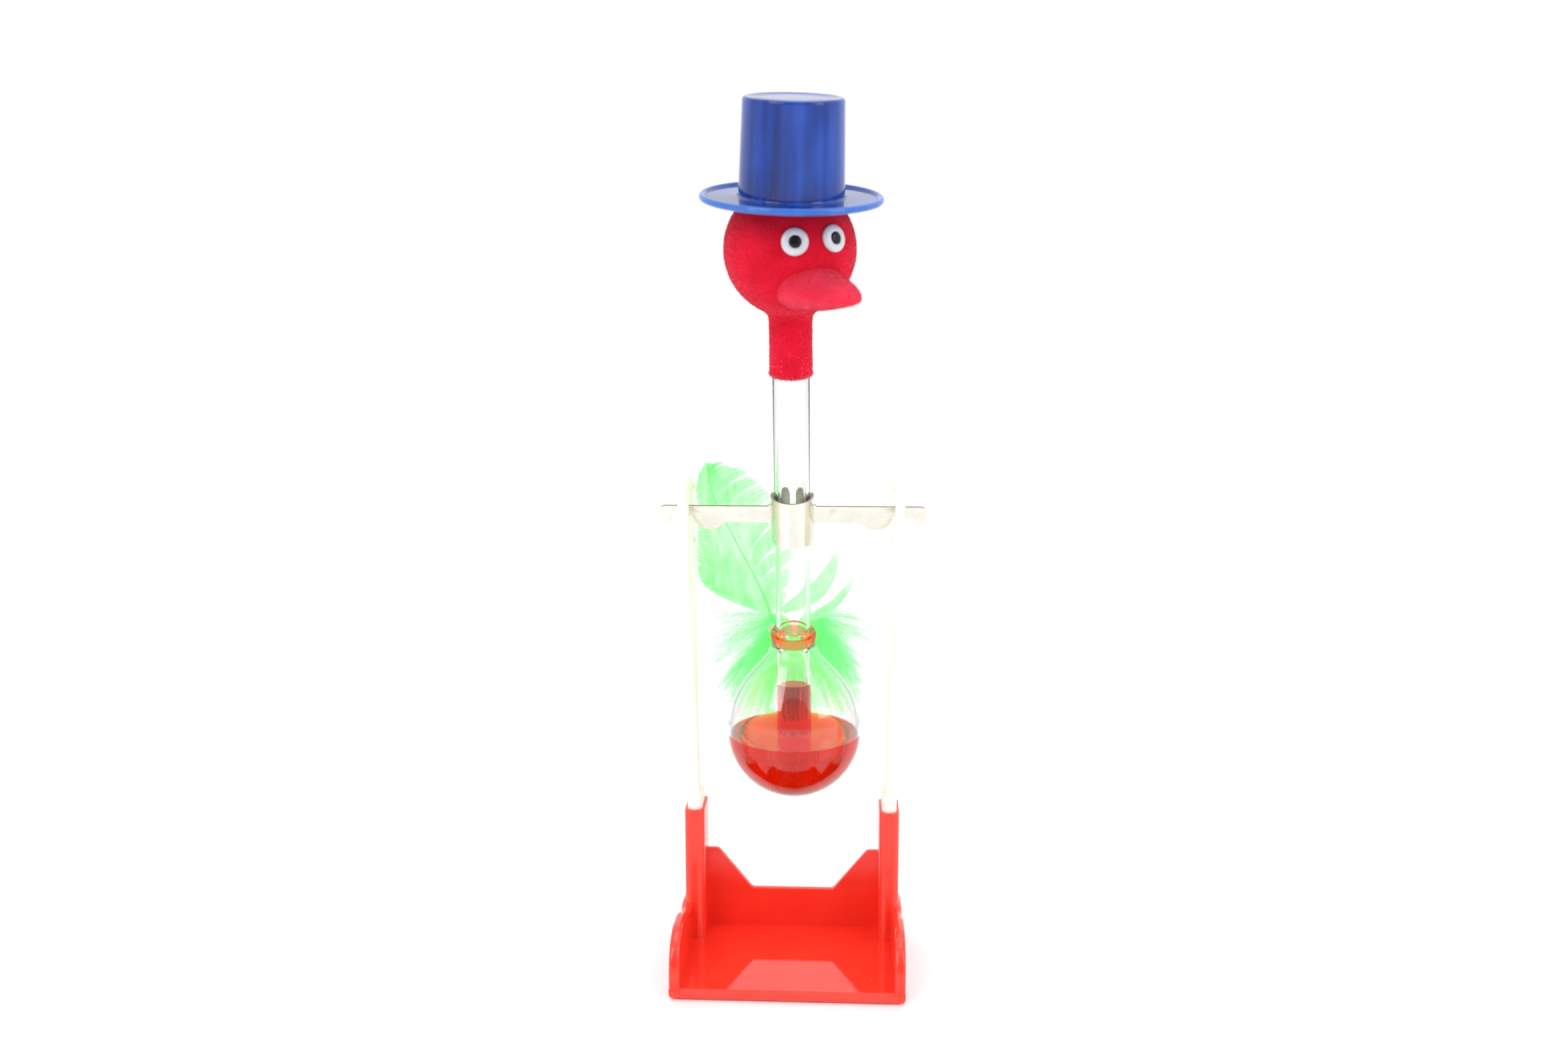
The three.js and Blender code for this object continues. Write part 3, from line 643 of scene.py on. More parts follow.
def feather_green(name, deep, pale, share, open_share, glow):
    """Thin dyed keratin: part of the light passes through, so layers look deeper.

    `open_share` is the share of each surface that is gaps between hooklets too fine to model; `glow` is a
    little light given off, for what the barbs scatter among themselves.
    """
    look, tree = new_tree(name)
    streak = noise(tree, 500, 4, stretch=(1, 1, 0.3))
    colour = ramp(tree, streak, [(0.3, deep), (0.7, pale)])
    hair = bump(tree, noise(tree, 4000, 3), 0.03 * MM, 0.5)
    front = node(tree, "ShaderNodeBsdfPrincipled", {
        "Base Color": colour, "Roughness": 0.55, "Normal": hair,
        "Sheen Weight": 0.3, "Sheen Roughness": 0.4, "Emission Color": colour, "Emission Strength": glow,
    })
    through = node(tree, "ShaderNodeBsdfTranslucent", {"Color": colour, "Normal": hair})
    body = node(tree, "ShaderNodeMixShader", {0: share, 1: front.outputs[0], 2: through.outputs[0]})
    gaps = node(tree, "ShaderNodeBsdfTransparent")
    away = node(tree, "ShaderNodeNewGeometry").outputs["Backfacing"]
    empty = calc(tree, "MAXIMUM", away, open_share)
    veil = node(tree, "ShaderNodeMixShader", {0: empty, 1: body.outputs[0], 2: gaps.outputs[0]})
    output(tree, veil.outputs[0])
    return look


def glue_clear():
    look, tree = new_tree("dried_glue")
    colour = ramp(tree, noise(tree, 700, 4), [(0.3, (0.80, 0.78, 0.66)), (0.7, (0.93, 0.92, 0.84))])
    shader = node(tree, "ShaderNodeBsdfPrincipled", {
        "Base Color": colour, "Roughness": 0.2, "Transmission Weight": 0.55, "IOR": 1.48,
        "Normal": bump(tree, noise(tree, 1200, 3), 0.05 * MM, 0.5),
    })
    output(tree, shader.outputs[0])
    return look


def white_floor():
    """Smooth white table: its gloss fades out away from the toy, so that the far table stays plain."""
    look, tree = new_tree("white_table")
    tone = ramp(tree, noise(tree, 3, 3), [(0.3, (0.965, 0.965, 0.965)), (0.7, (0.98, 0.98, 0.98))])
    away = node(tree, "ShaderNodeVectorMath", {0: own_place(tree)}, operation="LENGTH").outputs["Value"]
    polish = node(tree, "ShaderNodeMapRange", {
        "Value": away, "From Min": 0.08, "From Max": 0.30, "To Min": 0.5, "To Max": 0.0,
    }).outputs[0]
    shader = node(tree, "ShaderNodeBsdfPrincipled", {
        "Base Color": tone, "Roughness": 0.12, "IOR": 2.0, "Specular IOR Level": polish,
        "Normal": bump(tree, noise(tree, 300, 2), 0.005 * MM, 0.3),
    })
    output(tree, shader.outputs[0])
    return look


# ---------------------------------------------------------------- stand
TRAY_LOW, TRAY_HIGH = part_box("base_tray")
TRAY_FRONT, TRAY_BACK = TRAY_LOW.y / MM, TRAY_HIGH.y / MM
TRAY_OUT = TRAY_HIGH.x / MM
POST_TOP = TRAY_HIGH.z / MM
BROAD = 20 * MM ** 2
TRAY_WALL = 3.0
TRAY_FLOOR = 3.0
POST_IN, POST_OUT = 25.5, 31.35
POST_FRONT = -4.7
SOCKET_HALF = 2.2
SOCKET_FRONT, SOCKET_BACK = -3.6, 6.6


def rounded_box(x0, x1, y0, y1, front_r, back_r, steps=8):
    """Outline (x, y) with rounded corners, larger at the front."""
    return [
        *arc(x0 + front_r, y0 + front_r, front_r, 180, 270, steps),
        *arc(x1 - front_r, y0 + front_r, front_r, 270, 360, steps),
        *arc(x1 - back_r, y1 - back_r, back_r, 0, 90, steps),
        *arc(x0 + back_r, y1 - back_r, back_r, 90, 180, steps),
    ]


def cheek_outline():
    """Side wall (y, z): upright front, round crest, a dip, then a sweep up into the post."""
    crest, reach, springing = 17.2, 10.5, 7.0
    front = TRAY_FRONT + 0.1
    top = arc(0, 0, 1, 180, 90, 16)
    top = [(front + reach * (1 + c), springing + (crest - springing) * k) for c, k in top]
    slope = [(-16.5, crest - 0.7), (-11.5, crest - 2.6), (-7.2, crest - 3.6), (POST_FRONT + 1.5, crest - 3.2)]
    fall = smooth_path([top[-1], *slope], 4)
    return [(front, 2.0), *top, *fall[1:], (TRAY_BACK - 1.2, 13.4), (TRAY_BACK - 1.2, 0.6), (front + 2, 0.6)]


def back_outline():
    """Back wall (x, z) with its wide notch."""
    top, low, half = 27.1, 14.7, POST_IN + 1
    side = [
        (half, top), (22.9, top), (22.1, top - 0.25), (21.4, top - 0.95),
        (12.6, low + 0.7), (12.1, low + 0.2), (11.5, low),
    ]
    return [(-half, 1), (half, 1), *side, *[(-x, z) for x, z in side[::-1]]]


def make_tray(look):
    """Moulded tray: floor with a lip, side cheeks, notched back wall and two hollow posts."""
    foot = 2.2
    section = [
        *arc(TRAY_OUT - foot, foot, foot, 270, 360, 10), (TRAY_OUT, TRAY_FLOOR),
        (-TRAY_OUT, TRAY_FLOOR), *arc(-TRAY_OUT + foot, foot, foot, 180, 270, 10),
    ]
    depth = TRAY_BACK - TRAY_FRONT
    floor = slab("base_tray_moulded", scaled(section), TRAY_FRONT * MM, depth * MM, 0, "y")
    inner = TRAY_OUT - TRAY_WALL
    over_floor = TRAY_FLOOR + 0.01
    lip = [
        (TRAY_FRONT - 1, 1.7), (TRAY_FRONT, 1.7),
        (TRAY_FRONT + 1.3, over_floor), (TRAY_FRONT - 1, over_floor),
    ]
    roll = 1.6
    under = [
        (TRAY_FRONT - 1, -1), (TRAY_FRONT + roll, -1),
        *arc(TRAY_FRONT + roll, roll, roll, 270, 180, 8), (TRAY_FRONT - 1, roll),
    ]
    cuts = [slab("lip", scaled(lip), -inner * MM, 2 * inner * MM, 0, "x")]
    cuts.append(slab("under", scaled(under), -40 * MM, 80 * MM, 0, "x"))
    combine(floor, cuts, "DIFFERENCE")
    added = [slab("back", scaled(back_outline()), 4.9 * MM, 1.9 * MM, 0.3 * MM, "y")]
    holes = []
    for side in (1, -1):
        start = inner if side > 0 else -TRAY_OUT
        added.append(slab("cheek", scaled(cheek_outline()), start * MM, TRAY_WALL * MM, 0.95 * MM, "x", 5))
        across = sorted((side * POST_IN, side * POST_OUT))
        post = rounded_box(*across, POST_FRONT, TRAY_BACK, 2.2, 0.8)
        added.append(slab("post", scaled(post), 1 * MM, (POST_TOP - 1) * MM, 0.25 * MM, "z"))
        middle = (across[0] + across[1]) / 2
        low_x, high_x = middle - SOCKET_HALF, middle + SOCKET_HALF
        hole = rounded_box(low_x, high_x, SOCKET_FRONT, SOCKET_BACK, 2.19, 2.19, 10)
        holes.append(slab("hole", scaled(hole), (POST_TOP - 13) * MM, 14 * MM, 0, "z"))
    combine(floor, added, "UNION")
    combine(floor, holes, "DIFFERENCE")
    soften(floor, 0.22 * MM, 32)
    finish_piece(floor, look, "stand", ["base_tray"], sharp=40, broad=BROAD)


def soften(piece, width, angle):
    """Rounds the piece's sharp edges."""
    rim = piece.modifiers.new("rim", "BEVEL")
    rim.width = width
    rim.segments = 2
    rim.limit_method = "ANGLE"
    rim.angle_limit = math.radians(angle)
    rim.use_clamp_overlap = True
    baked(piece)


UPRIGHT_X = 30.1
UPRIGHT_T = 2.5
SPLAY = math.radians(1.15)
FORK_HALF, SLOT_HALF, SLOT_FLOOR, PRONG_TOP = 10.0, 4.5, -0.8, 11.0


def blade_outline():
    """Upright's blade (y, z), z from the rocking axis: thin stem, flared head, slot between two prongs."""
    foot = POST_TOP + 3.2 - HINGE.z / MM
    stem_back = smooth_path([(3.5, foot + 22), (3.9, -55), (5.4, -47), (8.2, -34), (9.5, -24), (10, -15)], 6)
    front = [(-10, -15), (-9.5, -24), (-7.6, -34), (-4.0, -47), (-1.7, -55), (-1.1, foot + 22)]
    stem_front = smooth_path(front, 6)
    back_prong = [
        *arc(FORK_HALF - 2, PRONG_TOP - 2, 2, 0, 90, 6),
        *arc(SLOT_HALF + 1.3, PRONG_TOP - 1.3, 1.3, 90, 180, 5),
    ]
    front_prong = [(-y, z) for y, z in back_prong[::-1]]
    slot = [
        *arc(SLOT_HALF - 0.8, SLOT_FLOOR + 0.8, 0.8, 0, -90, 4),
        *arc(0.8 - SLOT_HALF, SLOT_FLOOR + 0.8, 0.8, 270, 180, 4),
    ]
    return [(-1.1, foot), (3.5, foot), *stem_back, *back_prong, *slot, *front_prong, *stem_front]


def make_upright(name, side, look):
    """Ivory upright: blade, plug in the tray's post, and two small nubs on the inner face."""
    thick = UPRIGHT_T * MM
    blade = slab(name + "_moulded", scaled(blade_outline()), -thick / 2, thick, 0.45 * MM, "x", 4)
    blade.matrix_world = Matrix.Translation((UPRIGHT_X * MM, 0, HINGE.z)) @ Matrix.Rotation(SPLAY, 4, "Y")
    bpy.context.view_layer.update()
    blade.data.transform(blade.matrix_world)
    blade.matrix_world = WORLD
    middle, fit = (POST_IN + POST_OUT) / 2, 0.06
    half = SOCKET_HALF - fit
    front, back, round_r = SOCKET_FRONT + fit, SOCKET_BACK - fit, half - 0.01
    outline = rounded_box(middle - half, middle + half, front, back, round_r, round_r, 10)
    low = POST_TOP - 12.5
    parts = [slab("plug", scaled(outline), low * MM, (POST_TOP + 4.6 - low) * MM, 0.7 * MM, "z", 4)]
    inner = UPRIGHT_X - UPRIGHT_T / 2
    for height in (-8, 7.8):
        nub = [(0, 0), (1, 0), (1, 1.0), (0.75, 1.3), (0, 1.4)]
        spot = Matrix.Translation(((inner + 0.7) * MM, 6.5 * MM, HINGE.z + height * MM))
        place = spot @ Matrix.Rotation(-math.pi / 2, 4, "Y")
        parts.append(mesh_object("nub", *turned(scaled(nub), 24), place))
    combine(blade, parts, "UNION")
    if side < 0:
        blade.data.transform(Matrix.Scale(-1, 4, (1, 0, 0)))
        blade.data.flip_normals()
    finish_piece(blade, look, "stand", [name], sharp=50, broad=BROAD)


# ---------------------------------------------------------------- clip
def sleeve_top(angle):
    """Height of the sleeve's upper edge; angle is measured from the back, in degrees, 0 at the split."""
    tab_start, tab_end = 12.0, 49.0
    slot_end = 55.0
    low = 4.2 * MM
    if angle < tab_end:
        middle = (tab_start + tab_end) / 2
        reach = min(1.0, abs(angle - middle) / (tab_end - middle))
        return SLEEVE_TOP + 0.2 * MM - 2.0 * MM * (1 - math.sqrt(max(0.0, 1 - reach ** 2.6)))
    if angle < slot_end:
        return low
    ease = min(1.0, (angle - slot_end) / 14)
    crest = SLEEVE_TOP - 0.1 * MM - 0.5 * MM * max(0.0, angle - 90) / 90
    return low + 0.8 * MM + (crest - low - 0.8 * MM) * ease * (2 - ease)


def sleeve():
    """Rolled sheet round the tube, split at the back, with two rounded tabs beside the split."""
    split = 11.0
    columns, rows = 170, 10
    verts, faces = [], []
    for inside in (False, True):
        radius = SLEEVE_R - (SHEET if inside else 0)
        for c in range(columns + 1):
            from_back = split + (360 - 2 * split) * c / columns
            theta = math.radians(90 + from_back)
            top = sleeve_top(min(from_back, 360 - from_back))
            for r in range(rows + 1):
                s = SLEEVE_LOW + (top - SLEEVE_LOW) * r / rows
                verts.append((radius * math.cos(theta), radius * math.sin(theta), s))
    layer = (columns + 1) * (rows + 1)

    def at(side, c, r):
        return side * layer + c * (rows + 1) + r

    for c in range(columns):
        for r in range(rows):
            faces.append([at(0, c, r), at(0, c + 1, r), at(0, c + 1, r + 1), at(0, c, r + 1)])
            faces.append([at(1, c, r), at(1, c, r + 1), at(1, c + 1, r + 1), at(1, c + 1, r)])
        for r in (0, rows):
            faces.append([at(0, c, r), at(1, c, r), at(1, c + 1, r), at(0, c + 1, r)])
    for c in (0, columns):
        for r in range(rows):
            faces.append([at(0, c, r), at(0, c, r + 1), at(1, c, r + 1), at(1, c, r)])
    return mesh_object("clip_sleeve", verts, faces)


def arm_outline():
    """One arm (x, s): lobe inside the upright, notch that rocks on it, round hook outside."""
    top, low, lobe_low = 3.2, -1.7, -3.9
    lobe = [(18.6 + 4.7 * t, low + (lobe_low - low) * math.sin(t * math.pi / 2) ** 1.3)
            for t in (i / 10 for i in range(11))]
    rise = [(23.3 + 5.0 * math.sin(a), 0.6 + (lobe_low - 0.6) * math.cos(a))
            for a in (math.radians(8 + 82 * i / 12) for i in range(13))]
    end = ARM_END / MM
    hook = arc((34.1 + end) / 2, 0, (end - 34.1) / 2, 180, 360, 16)
    corner = arc(end - 1.6, top - 1.6, 1.6, 0, 90, 8)
    inner = (SLEEVE_R - 0.5 * SHEET) / MM
    root = [(inner + 1.1, top), (inner, top + 1.0), (inner, low - 1.2), (inner + 1.1, low)]
    return scaled([*lobe, *rise, (28.3, 0), *hook, *corner, *root])


def make_clip(look, edge_look):
    clip = sleeve()
    outline = arm_outline()
    arms = []
    for side in (1, -1):
        points = [(side * x, s) for x, s in outline]
        arms.append(slab("arm", points, -0.4 * MM, 0.8 * MM, 0.08 * MM, "y", 2))
    combine(clip, arms, "UNION")
    clip.matrix_world = BIRD
    finish_piece(clip, look, "clip", ["pivot_clip"], sharp=30)
    clip.data.materials.append(edge_look)
    for face in clip.data.polygons:
        flat_edge = abs(face.normal.z) > 0.7
        if flat_edge:
            face.material_index = 1
    clip.name = "pivot_clip_sheet"
    return clip


# ---------------------------------------------------------------- glass and liquid
SHOULDER = scaled([
    (19.95, -65.9), (19.3, -62.5), (18, -58.5), (16, -54.6), (13.4, -50.8), (10.6, -47.2), (8.4, -44),
    (7.2, -41.6),
])


def bulb_skin(inset):
    """Bulb wall from the bottom to the neck, `inset` inside the outside."""
    ball = arc(0, BULB_S, BULB_R - inset, -90, 8, 44)
    ball[0] = (0, ball[0][1])
    shoulder = [(r - inset * 0.85, s - inset * 0.6) for r, s in SHOULDER[1:]]
    return ball + smooth_path([ball[-1], *shoulder], 8)[1:]


def make_bulb(look):
    """Blown bulb; its neck swells into a hollow ring where it is sealed to the tube."""
    fit = TUBE_R + 0.12 * MM
    ring = smooth_path([
        (7.2 * MM, -41.6 * MM),
        (JOINT_R - 0.55 * MM, JOINT_S - 2.9 * MM),
        (JOINT_R - 0.1 * MM, JOINT_S - 1.6 * MM),
        (JOINT_R, JOINT_S - 0.3 * MM),
        (JOINT_R - 0.35 * MM, JOINT_S + 1.2 * MM),
        (JOINT_R - 1.1 * MM, JOINT_S + 2.3 * MM),
        (fit + 0.05 * MM, JOINT_S + 2.6 * MM),
    ], 6)
    hollow = smooth_path([
        (fit, JOINT_S + 1.5 * MM),
        (JOINT_R - 0.8 * MM, JOINT_S + 1.2 * MM),
        (JOINT_R - 0.38 * MM, JOINT_S - 0.2 * MM),
        (JOINT_R - 0.5 * MM, JOINT_S - 1.6 * MM),
        (fit, JOINT_S - 2.4 * MM),
    ], 6)
    seal = [(fit, JOINT_S - 3.2 * MM), (fit + 0.3 * MM, JOINT_S - 4.0 * MM)]
    inner = bulb_skin(BULB_WALL)[::-1]
    profile = bulb_skin(0)[:-1] + ring + hollow + seal + inner[2:]
    bulb = mesh_object("lower_bulb_glass", *turned(profile, 128), BIRD)
    return finish_piece(bulb, look, stands_for=["lower_bulb"], sharp=60)


def make_tube(look):
    """Drawn tube with fire-polished ends."""
    lip = (TUBE_R - TUBE_BORE) / 2
    middle = (TUBE_R + TUBE_BORE) / 2
    low = arc(middle, TUBE_LOW + lip, lip, 180, 360, 12)
    high = arc(middle, TUBE_TOP - lip, lip, 0, 180, 12)
    tube = mesh_object("glass_tube_drawn", *turned(low + high, 192), BIRD)
    return finish_piece(tube, look, stands_for=["glass_tube"], sharp=60)


def make_head_glass(look):
    """Hidden bulb under the flocking, with its sealed-off tip under the hat."""
    outer = HEAD_R - 1.5 * MM
    inner = outer - 0.9 * MM
    base = math.degrees(math.asin(TUBE_R / outer))
    mouth = math.degrees(math.asin(TUBE_BORE / inner))
    tip = smooth_path([
        (2.2 * MM, HEAD_S + outer * 0.99), (1.5 * MM, HEAD_S + outer + 1.4 * MM),
        (0.9 * MM, HEAD_S + outer + 2.7 * MM), (0, HEAD_S + outer + 3.1 * MM),
    ], 5)
    profile = (
        [(0, HEAD_S + inner)]
        + arc(0, HEAD_S, inner, 86, -90 + mouth, 30)
        + [(TUBE_BORE, TUBE_TOP + 0.3 * MM), (TUBE_R, TUBE_TOP + 0.3 * MM)]
        + arc(0, HEAD_S, outer, -90 + base, 82, 30)
        + tip
    )
    glass = mesh_object("head_bulb_glass", *turned(profile, 72), BIRD)
    return finish_piece(glass, look, stands_for=["head_bulb"], sharp=60)


def level_cutter(height):
    """Block whose underside is a level plane of the world, at this height above the table."""
    reach = 60 * MM
    corners = [(x, y, z) for z in (height, height + reach) for y in (-reach, reach) for x in (-reach, reach)]
    sides = [[0, 2, 3, 1], [4, 5, 7, 6], [0, 1, 5, 4], [2, 6, 7, 3], [0, 4, 6, 2], [1, 3, 7, 5]]
    return mesh_object("cutter", corners, sides)


def make_bulb_liquid(look):
    wall = bulb_skin(BULB_WALL + FILM)
    profile = wall[:-10] + [(0, wall[-10][1])]
    pool = mesh_object("bulb_liquid_pool", *turned(profile, 128), BIRD)
    bore_r = TUBE_R + FILM
    bore_low = TUBE_LOW - 0.15 * MM
    rod = [(0, bore_low), (bore_r, bore_low), (bore_r, 0), (0, 0)]
    bore = mesh_object("bore", *turned(rod, 96), BIRD)
    combine(pool, [bore, level_cutter(LIQUID_Z)], "DIFFERENCE")
    return finish_piece(pool, look, stands_for=["bulb_liquid"], sharp=30)


def make_column_liquid(look):
    radius = TUBE_BORE - FILM
    low = TUBE_LOW + 0.2 * MM
    rod = [(0, low), (radius - 0.3 * MM, low), (radius, low + 0.4 * MM), (radius, -20 * MM), (0, -20 * MM)]
    column = mesh_object("column_liquid_thread", *turned(rod, 96), BIRD)
    combine(column, [level_cutter(COLUMN_TOP_Z)], "DIFFERENCE")
    return finish_piece(column, look, stands_for=["column_liquid"], sharp=30)


def make_joint_liquid(look):
    """Drop trapped round the tube in the hollow of the neck ring."""
    inner = TUBE_R + 0.02 * MM
    section = smooth_path([
        (inner, JOINT_S - 2.3 * MM),
        (JOINT_R - 0.55 * MM, JOINT_S - 1.6 * MM),
        (JOINT_R - 0.42 * MM, JOINT_S - 0.2 * MM),
        (JOINT_R - 0.85 * MM, JOINT_S + 1.1 * MM),
        (inner, JOINT_S + 0.7 * MM),
    ], 6)
    drop = mesh_object("joint_liquid_ring", *turned(section, 96), BIRD)
    return finish_piece(drop, look, stands_for=["joint_liquid"], sharp=60)


# ---------------------------------------------------------------- head
def add_fibres(piece, name, look, per_mm2, length, seed, wanted):
    """Flock fibres: small spikes on the piece's outer faces, scattered by area."""
    rng = np.random.default_rng(seed)
    mesh = piece.data
    mesh.calc_loop_triangles()
    co = np.array([v.co for v in mesh.vertices])
    tris = np.array([t.vertices for t in mesh.loop_triangles])
    a, b, c = co[tris[:, 0]], co[tris[:, 1]], co[tris[:, 2]]
    cross = np.cross(b - a, c - a)
    area = np.linalg.norm(cross, axis=1) / 2
    normal = cross / np.maximum(2 * area[:, None], 1e-15)
    keep = wanted((a + b + c) / 3, normal)
    area = np.where(keep, area, 0)
    count = int(area.sum() / MM ** 2 * per_mm2)
    pick = rng.choice(len(area), count, p=area / area.sum())
    u, v = rng.random((2, count))
    flip = u + v > 1
    u[flip], v[flip] = 1 - u[flip], 1 - v[flip]
    root = a[pick] + (b - a)[pick] * u[:, None] + (c - a)[pick] * v[:, None]
    n = normal[pick]
    lean = rng.normal(0, 0.42, (count, 3))
    tip = root + (n + lean) * (length * rng.uniform(0.55, 1.15, count))[:, None]
    side = np.cross(n, rng.normal(0, 1, (count, 3)))
    side /= np.linalg.norm(side, axis=1)[:, None]
    other = np.cross(n, side)
    width = 0.045 * MM
    sunk = root - n * 0.06 * MM
    turns = [(math.cos(k * 2 * math.pi / 3), math.sin(k * 2 * math.pi / 3)) for k in range(3)]
    feet = [sunk + (side * p + other * q) * width for p, q in turns]
    verts = np.stack([*feet, tip], 1).reshape(-1, 3)
    first = np.arange(count)[:, None, None] * 4
    pattern = np.array([[0, 1, 3], [1, 2, 3], [2, 0, 3], [0, 2, 1]])
    faces = (first + pattern).reshape(-1, 3)
    fuzz = mesh_object(name, verts.tolist(), faces.tolist(), piece.matrix_world.copy(), tidy=False)
    return finish_piece(fuzz, look, sharp=0)


def make_head(look, pale_look):
    """Flocked ball and neck sleeve, one shell with a ragged lower edge."""
    inner = HEAD_R - 1.2 * MM
    neck_in = TUBE_R + 0.15 * MM
    join = math.degrees(math.asin((NECK_R + 1.6 * MM) / HEAD_R))
    join_s = HEAD_S - HEAD_R * math.cos(math.radians(join))
    inner_join = math.degrees(math.asin(neck_in / inner))
    neck = smooth_path([
        (NECK_R - 0.05 * MM, NECK_LOW + 0.5 * MM),
        (NECK_R, NECK_LOW + 3 * MM),
        (NECK_R - 0.05 * MM, NECK_LOW + 9 * MM),
        (NECK_R, join_s - 3.2 * MM),
        (NECK_R + 0.35 * MM, join_s - 1.4 * MM),
    ], 8)
    ball = arc(0, HEAD_S, HEAD_R, -90 + join, 74, 60)
    lining = arc(0, HEAD_S, inner, 74, -90 + inner_join, 24)
    profile = [(neck_in, NECK_LOW), (NECK_R - 0.4 * MM, NECK_LOW), *neck, *ball, *lining]
    head = mesh_object("flocked_head_shell", *turned(profile, 128), BIRD)
    finish_piece(head, look, stands_for=["flocked_head"], sharp=60)

    def outside(middle, normal):
        radial = middle * [1, 1, 0]
        from_ball = middle - [0, 0, HEAD_S]
        on_neck = (normal * radial).sum(1) > 0
        on_ball = np.linalg.norm(from_ball, axis=1) > (inner + HEAD_R) / 2
        return np.where(middle[:, 2] < join_s, on_neck | (middle[:, 2] < NECK_LOW + 1e-5), on_ball)

    add_fibres(head, "flocked_head_pile", look, 16, 0.30 * MM, 11, outside)

    def rim(middle, normal):
        return (middle[:, 2] < NECK_LOW + 0.9 * MM) & ((normal * middle * [1, 1, 0]).sum(1) > -1e-9)

    add_fibres(head, "neck_edge_pile", pale_look, 30, 0.62 * MM, 12, rim)
    return head


BEAK_LENGTH = 30.6


def make_beak(look):
    """Blunt bullet pressed flat, thinner towards its tip, flocked like the head."""
    half_widths = smooth_path(
        [(8.2, 0.01), (8.6, 8), (8.0, 15), (6.3, 21.5), (4.4, 26), (2.7, 29), (0, BEAK_LENGTH)], 8)
    profile = scaled([(0, 0), *half_widths])
    profile[-1] = (0, profile[-1][1])
    verts, faces = turned(profile, 72)
    rise = math.radians(3.5)
    place = FACE @ Matrix.Translation((0, -8 * MM, -7.8 * MM)) @ Matrix.Rotation(math.pi / 2 - rise, 4, "X")
    head_middle = place.inverted() @ (FACE @ Vector((0, 0, 0)))
    flare_reach, flare = 3.0 * MM, 0.5 * MM
    flat = []
    for x, y, s in verts:
        along = s / (BEAK_LENGTH * MM)
        point = Vector((x, y * (0.71 - 0.40 * along), s))
        clear = (point - head_middle).length - HEAD_R
        near = min(1.0, max(0.0, 1 - clear / flare_reach))
        outward = Vector((point.x, point.y, 0))
        if outward.length > 1e-6:
            point += outward.normalized() * flare * near * near
        flat.append(tuple(point))
    beak = mesh_object("beak_flocked", flat, faces, place)
    finish_piece(beak, look, stands_for=["beak"], sharp=60)

    def clear_of_head(middle, normal):
        return np.linalg.norm(middle - np.array(head_middle), axis=1) > HEAD_R

    add_fibres(beak, "beak_pile", look, 16, 0.28 * MM, 13, clear_of_head)
    return beak


def eye_place(side):
    facing = Vector((
        math.sin(side * EYE_SPREAD),
        -math.cos(side * EYE_SPREAD) * math.cos(EYE_RISE),
        math.sin(EYE_RISE),
    )).normalized()
    return FACE @ facing.to_track_quat("Z", "Y").to_matrix().to_4x4()


def make_eye(name, side, white_look, pupil_look):
    """Moulded eye: a low white dome with a rolled edge, and a black dome set in its middle."""
    seat = HEAD_R / MM + 0.3
    radius, pupil = 3.45, 1.56
    dome = smooth_path([
        (radius - 0.12, seat + 0.28), (radius - 0.5, seat + 0.52),
        (2.4, seat + 0.72), (pupil + 0.3, seat + 0.8),
    ], 6)
    white = [(0, seat - 0.2), (2, seat - 0.3), (radius - 0.1, seat - 0.6), (radius, seat - 0.4)]
    white += [(radius, seat + 0.08), *dome]
    white += [(pupil + 0.12, seat + 0.74), (pupil + 0.08, seat + 0.4), (0, seat + 0.4)]
    ball = mesh_object(name + "_eye_white_dome", *turned(scaled(white), 72), eye_place(side))
    finish_piece(ball, white_look, stands_for=[name + "_eye_white"], sharp=50)
    low = seat + 0.45
    bead = [(pupil, low + 0.25), (pupil * 0.8, low + 0.46), (pupil * 0.45, low + 0.58), (0, low + 0.62)]
    dot = [(0, low), (pupil, low), *smooth_path(bead, 6)]
    middle = mesh_object(name + "_pupil_bead", *turned(scaled(dot), 48), eye_place(side))
    finish_piece(middle, pupil_look, stands_for=[name + "_pupil"], sharp=50)


# ---------------------------------------------------------------- hat
def make_hat(look):
    """Moulded top hat: tapering crown with a rounded top edge, thin brim with a raised bead."""
    brim, crown, crown_top, high, mouth, roof = 23.9, 13.8, 13.05, 25.7, 13.0, 1.6
    bead = [(brim - 2.0, 1.0), *arc(brim - 0.85, 0.75, 0.9, 150, -75, 16)]
    root = arc(crown + 0.7, 1.7, 0.7, 270, 180, 8)
    edge = arc(crown_top - 0.9, high - 1.0, 0.9, 0, 78, 10)
    lid = [(crown_top - 1.5, high - 0.12), (crown_top - 2.1, high - 0.3), (6, high - 0.34), (0, high - 0.34)]
    under = [(brim - 1.3, -0.22), (mouth + 1.2, 0.0), (mouth + 0.3, 0.05), (mouth, 0.4)]
    inside = [(mouth - 0.6, high - roof - 0.8), (mouth - 1.4, high - roof), (0, high - roof)]
    profile = lid[::-1] + edge[::-1] + root[::-1] + bead + under + inside
    hat = mesh_object("top_hat_moulded", *turned(scaled(profile), 144), HAT)
    return finish_piece(hat, look, stands_for=["top_hat"], sharp=27)


# ---------------------------------------------------------------- feathers
RACHIS = [
    (-6.8, -36.1), (-8.7, -29.9), (-11.5, -22.7), (-14.9, -15.6), (-19.5, -5.5), (-22.4, 0.8),
    (-24.1, 7.6), (-24.6, 12.9),
]
VANE_START, VANE_SPAN = 0.03, 0.965     # the part of the quill that carries barbs
TOWARDS_VIEW = Vector((0, -1, 0))

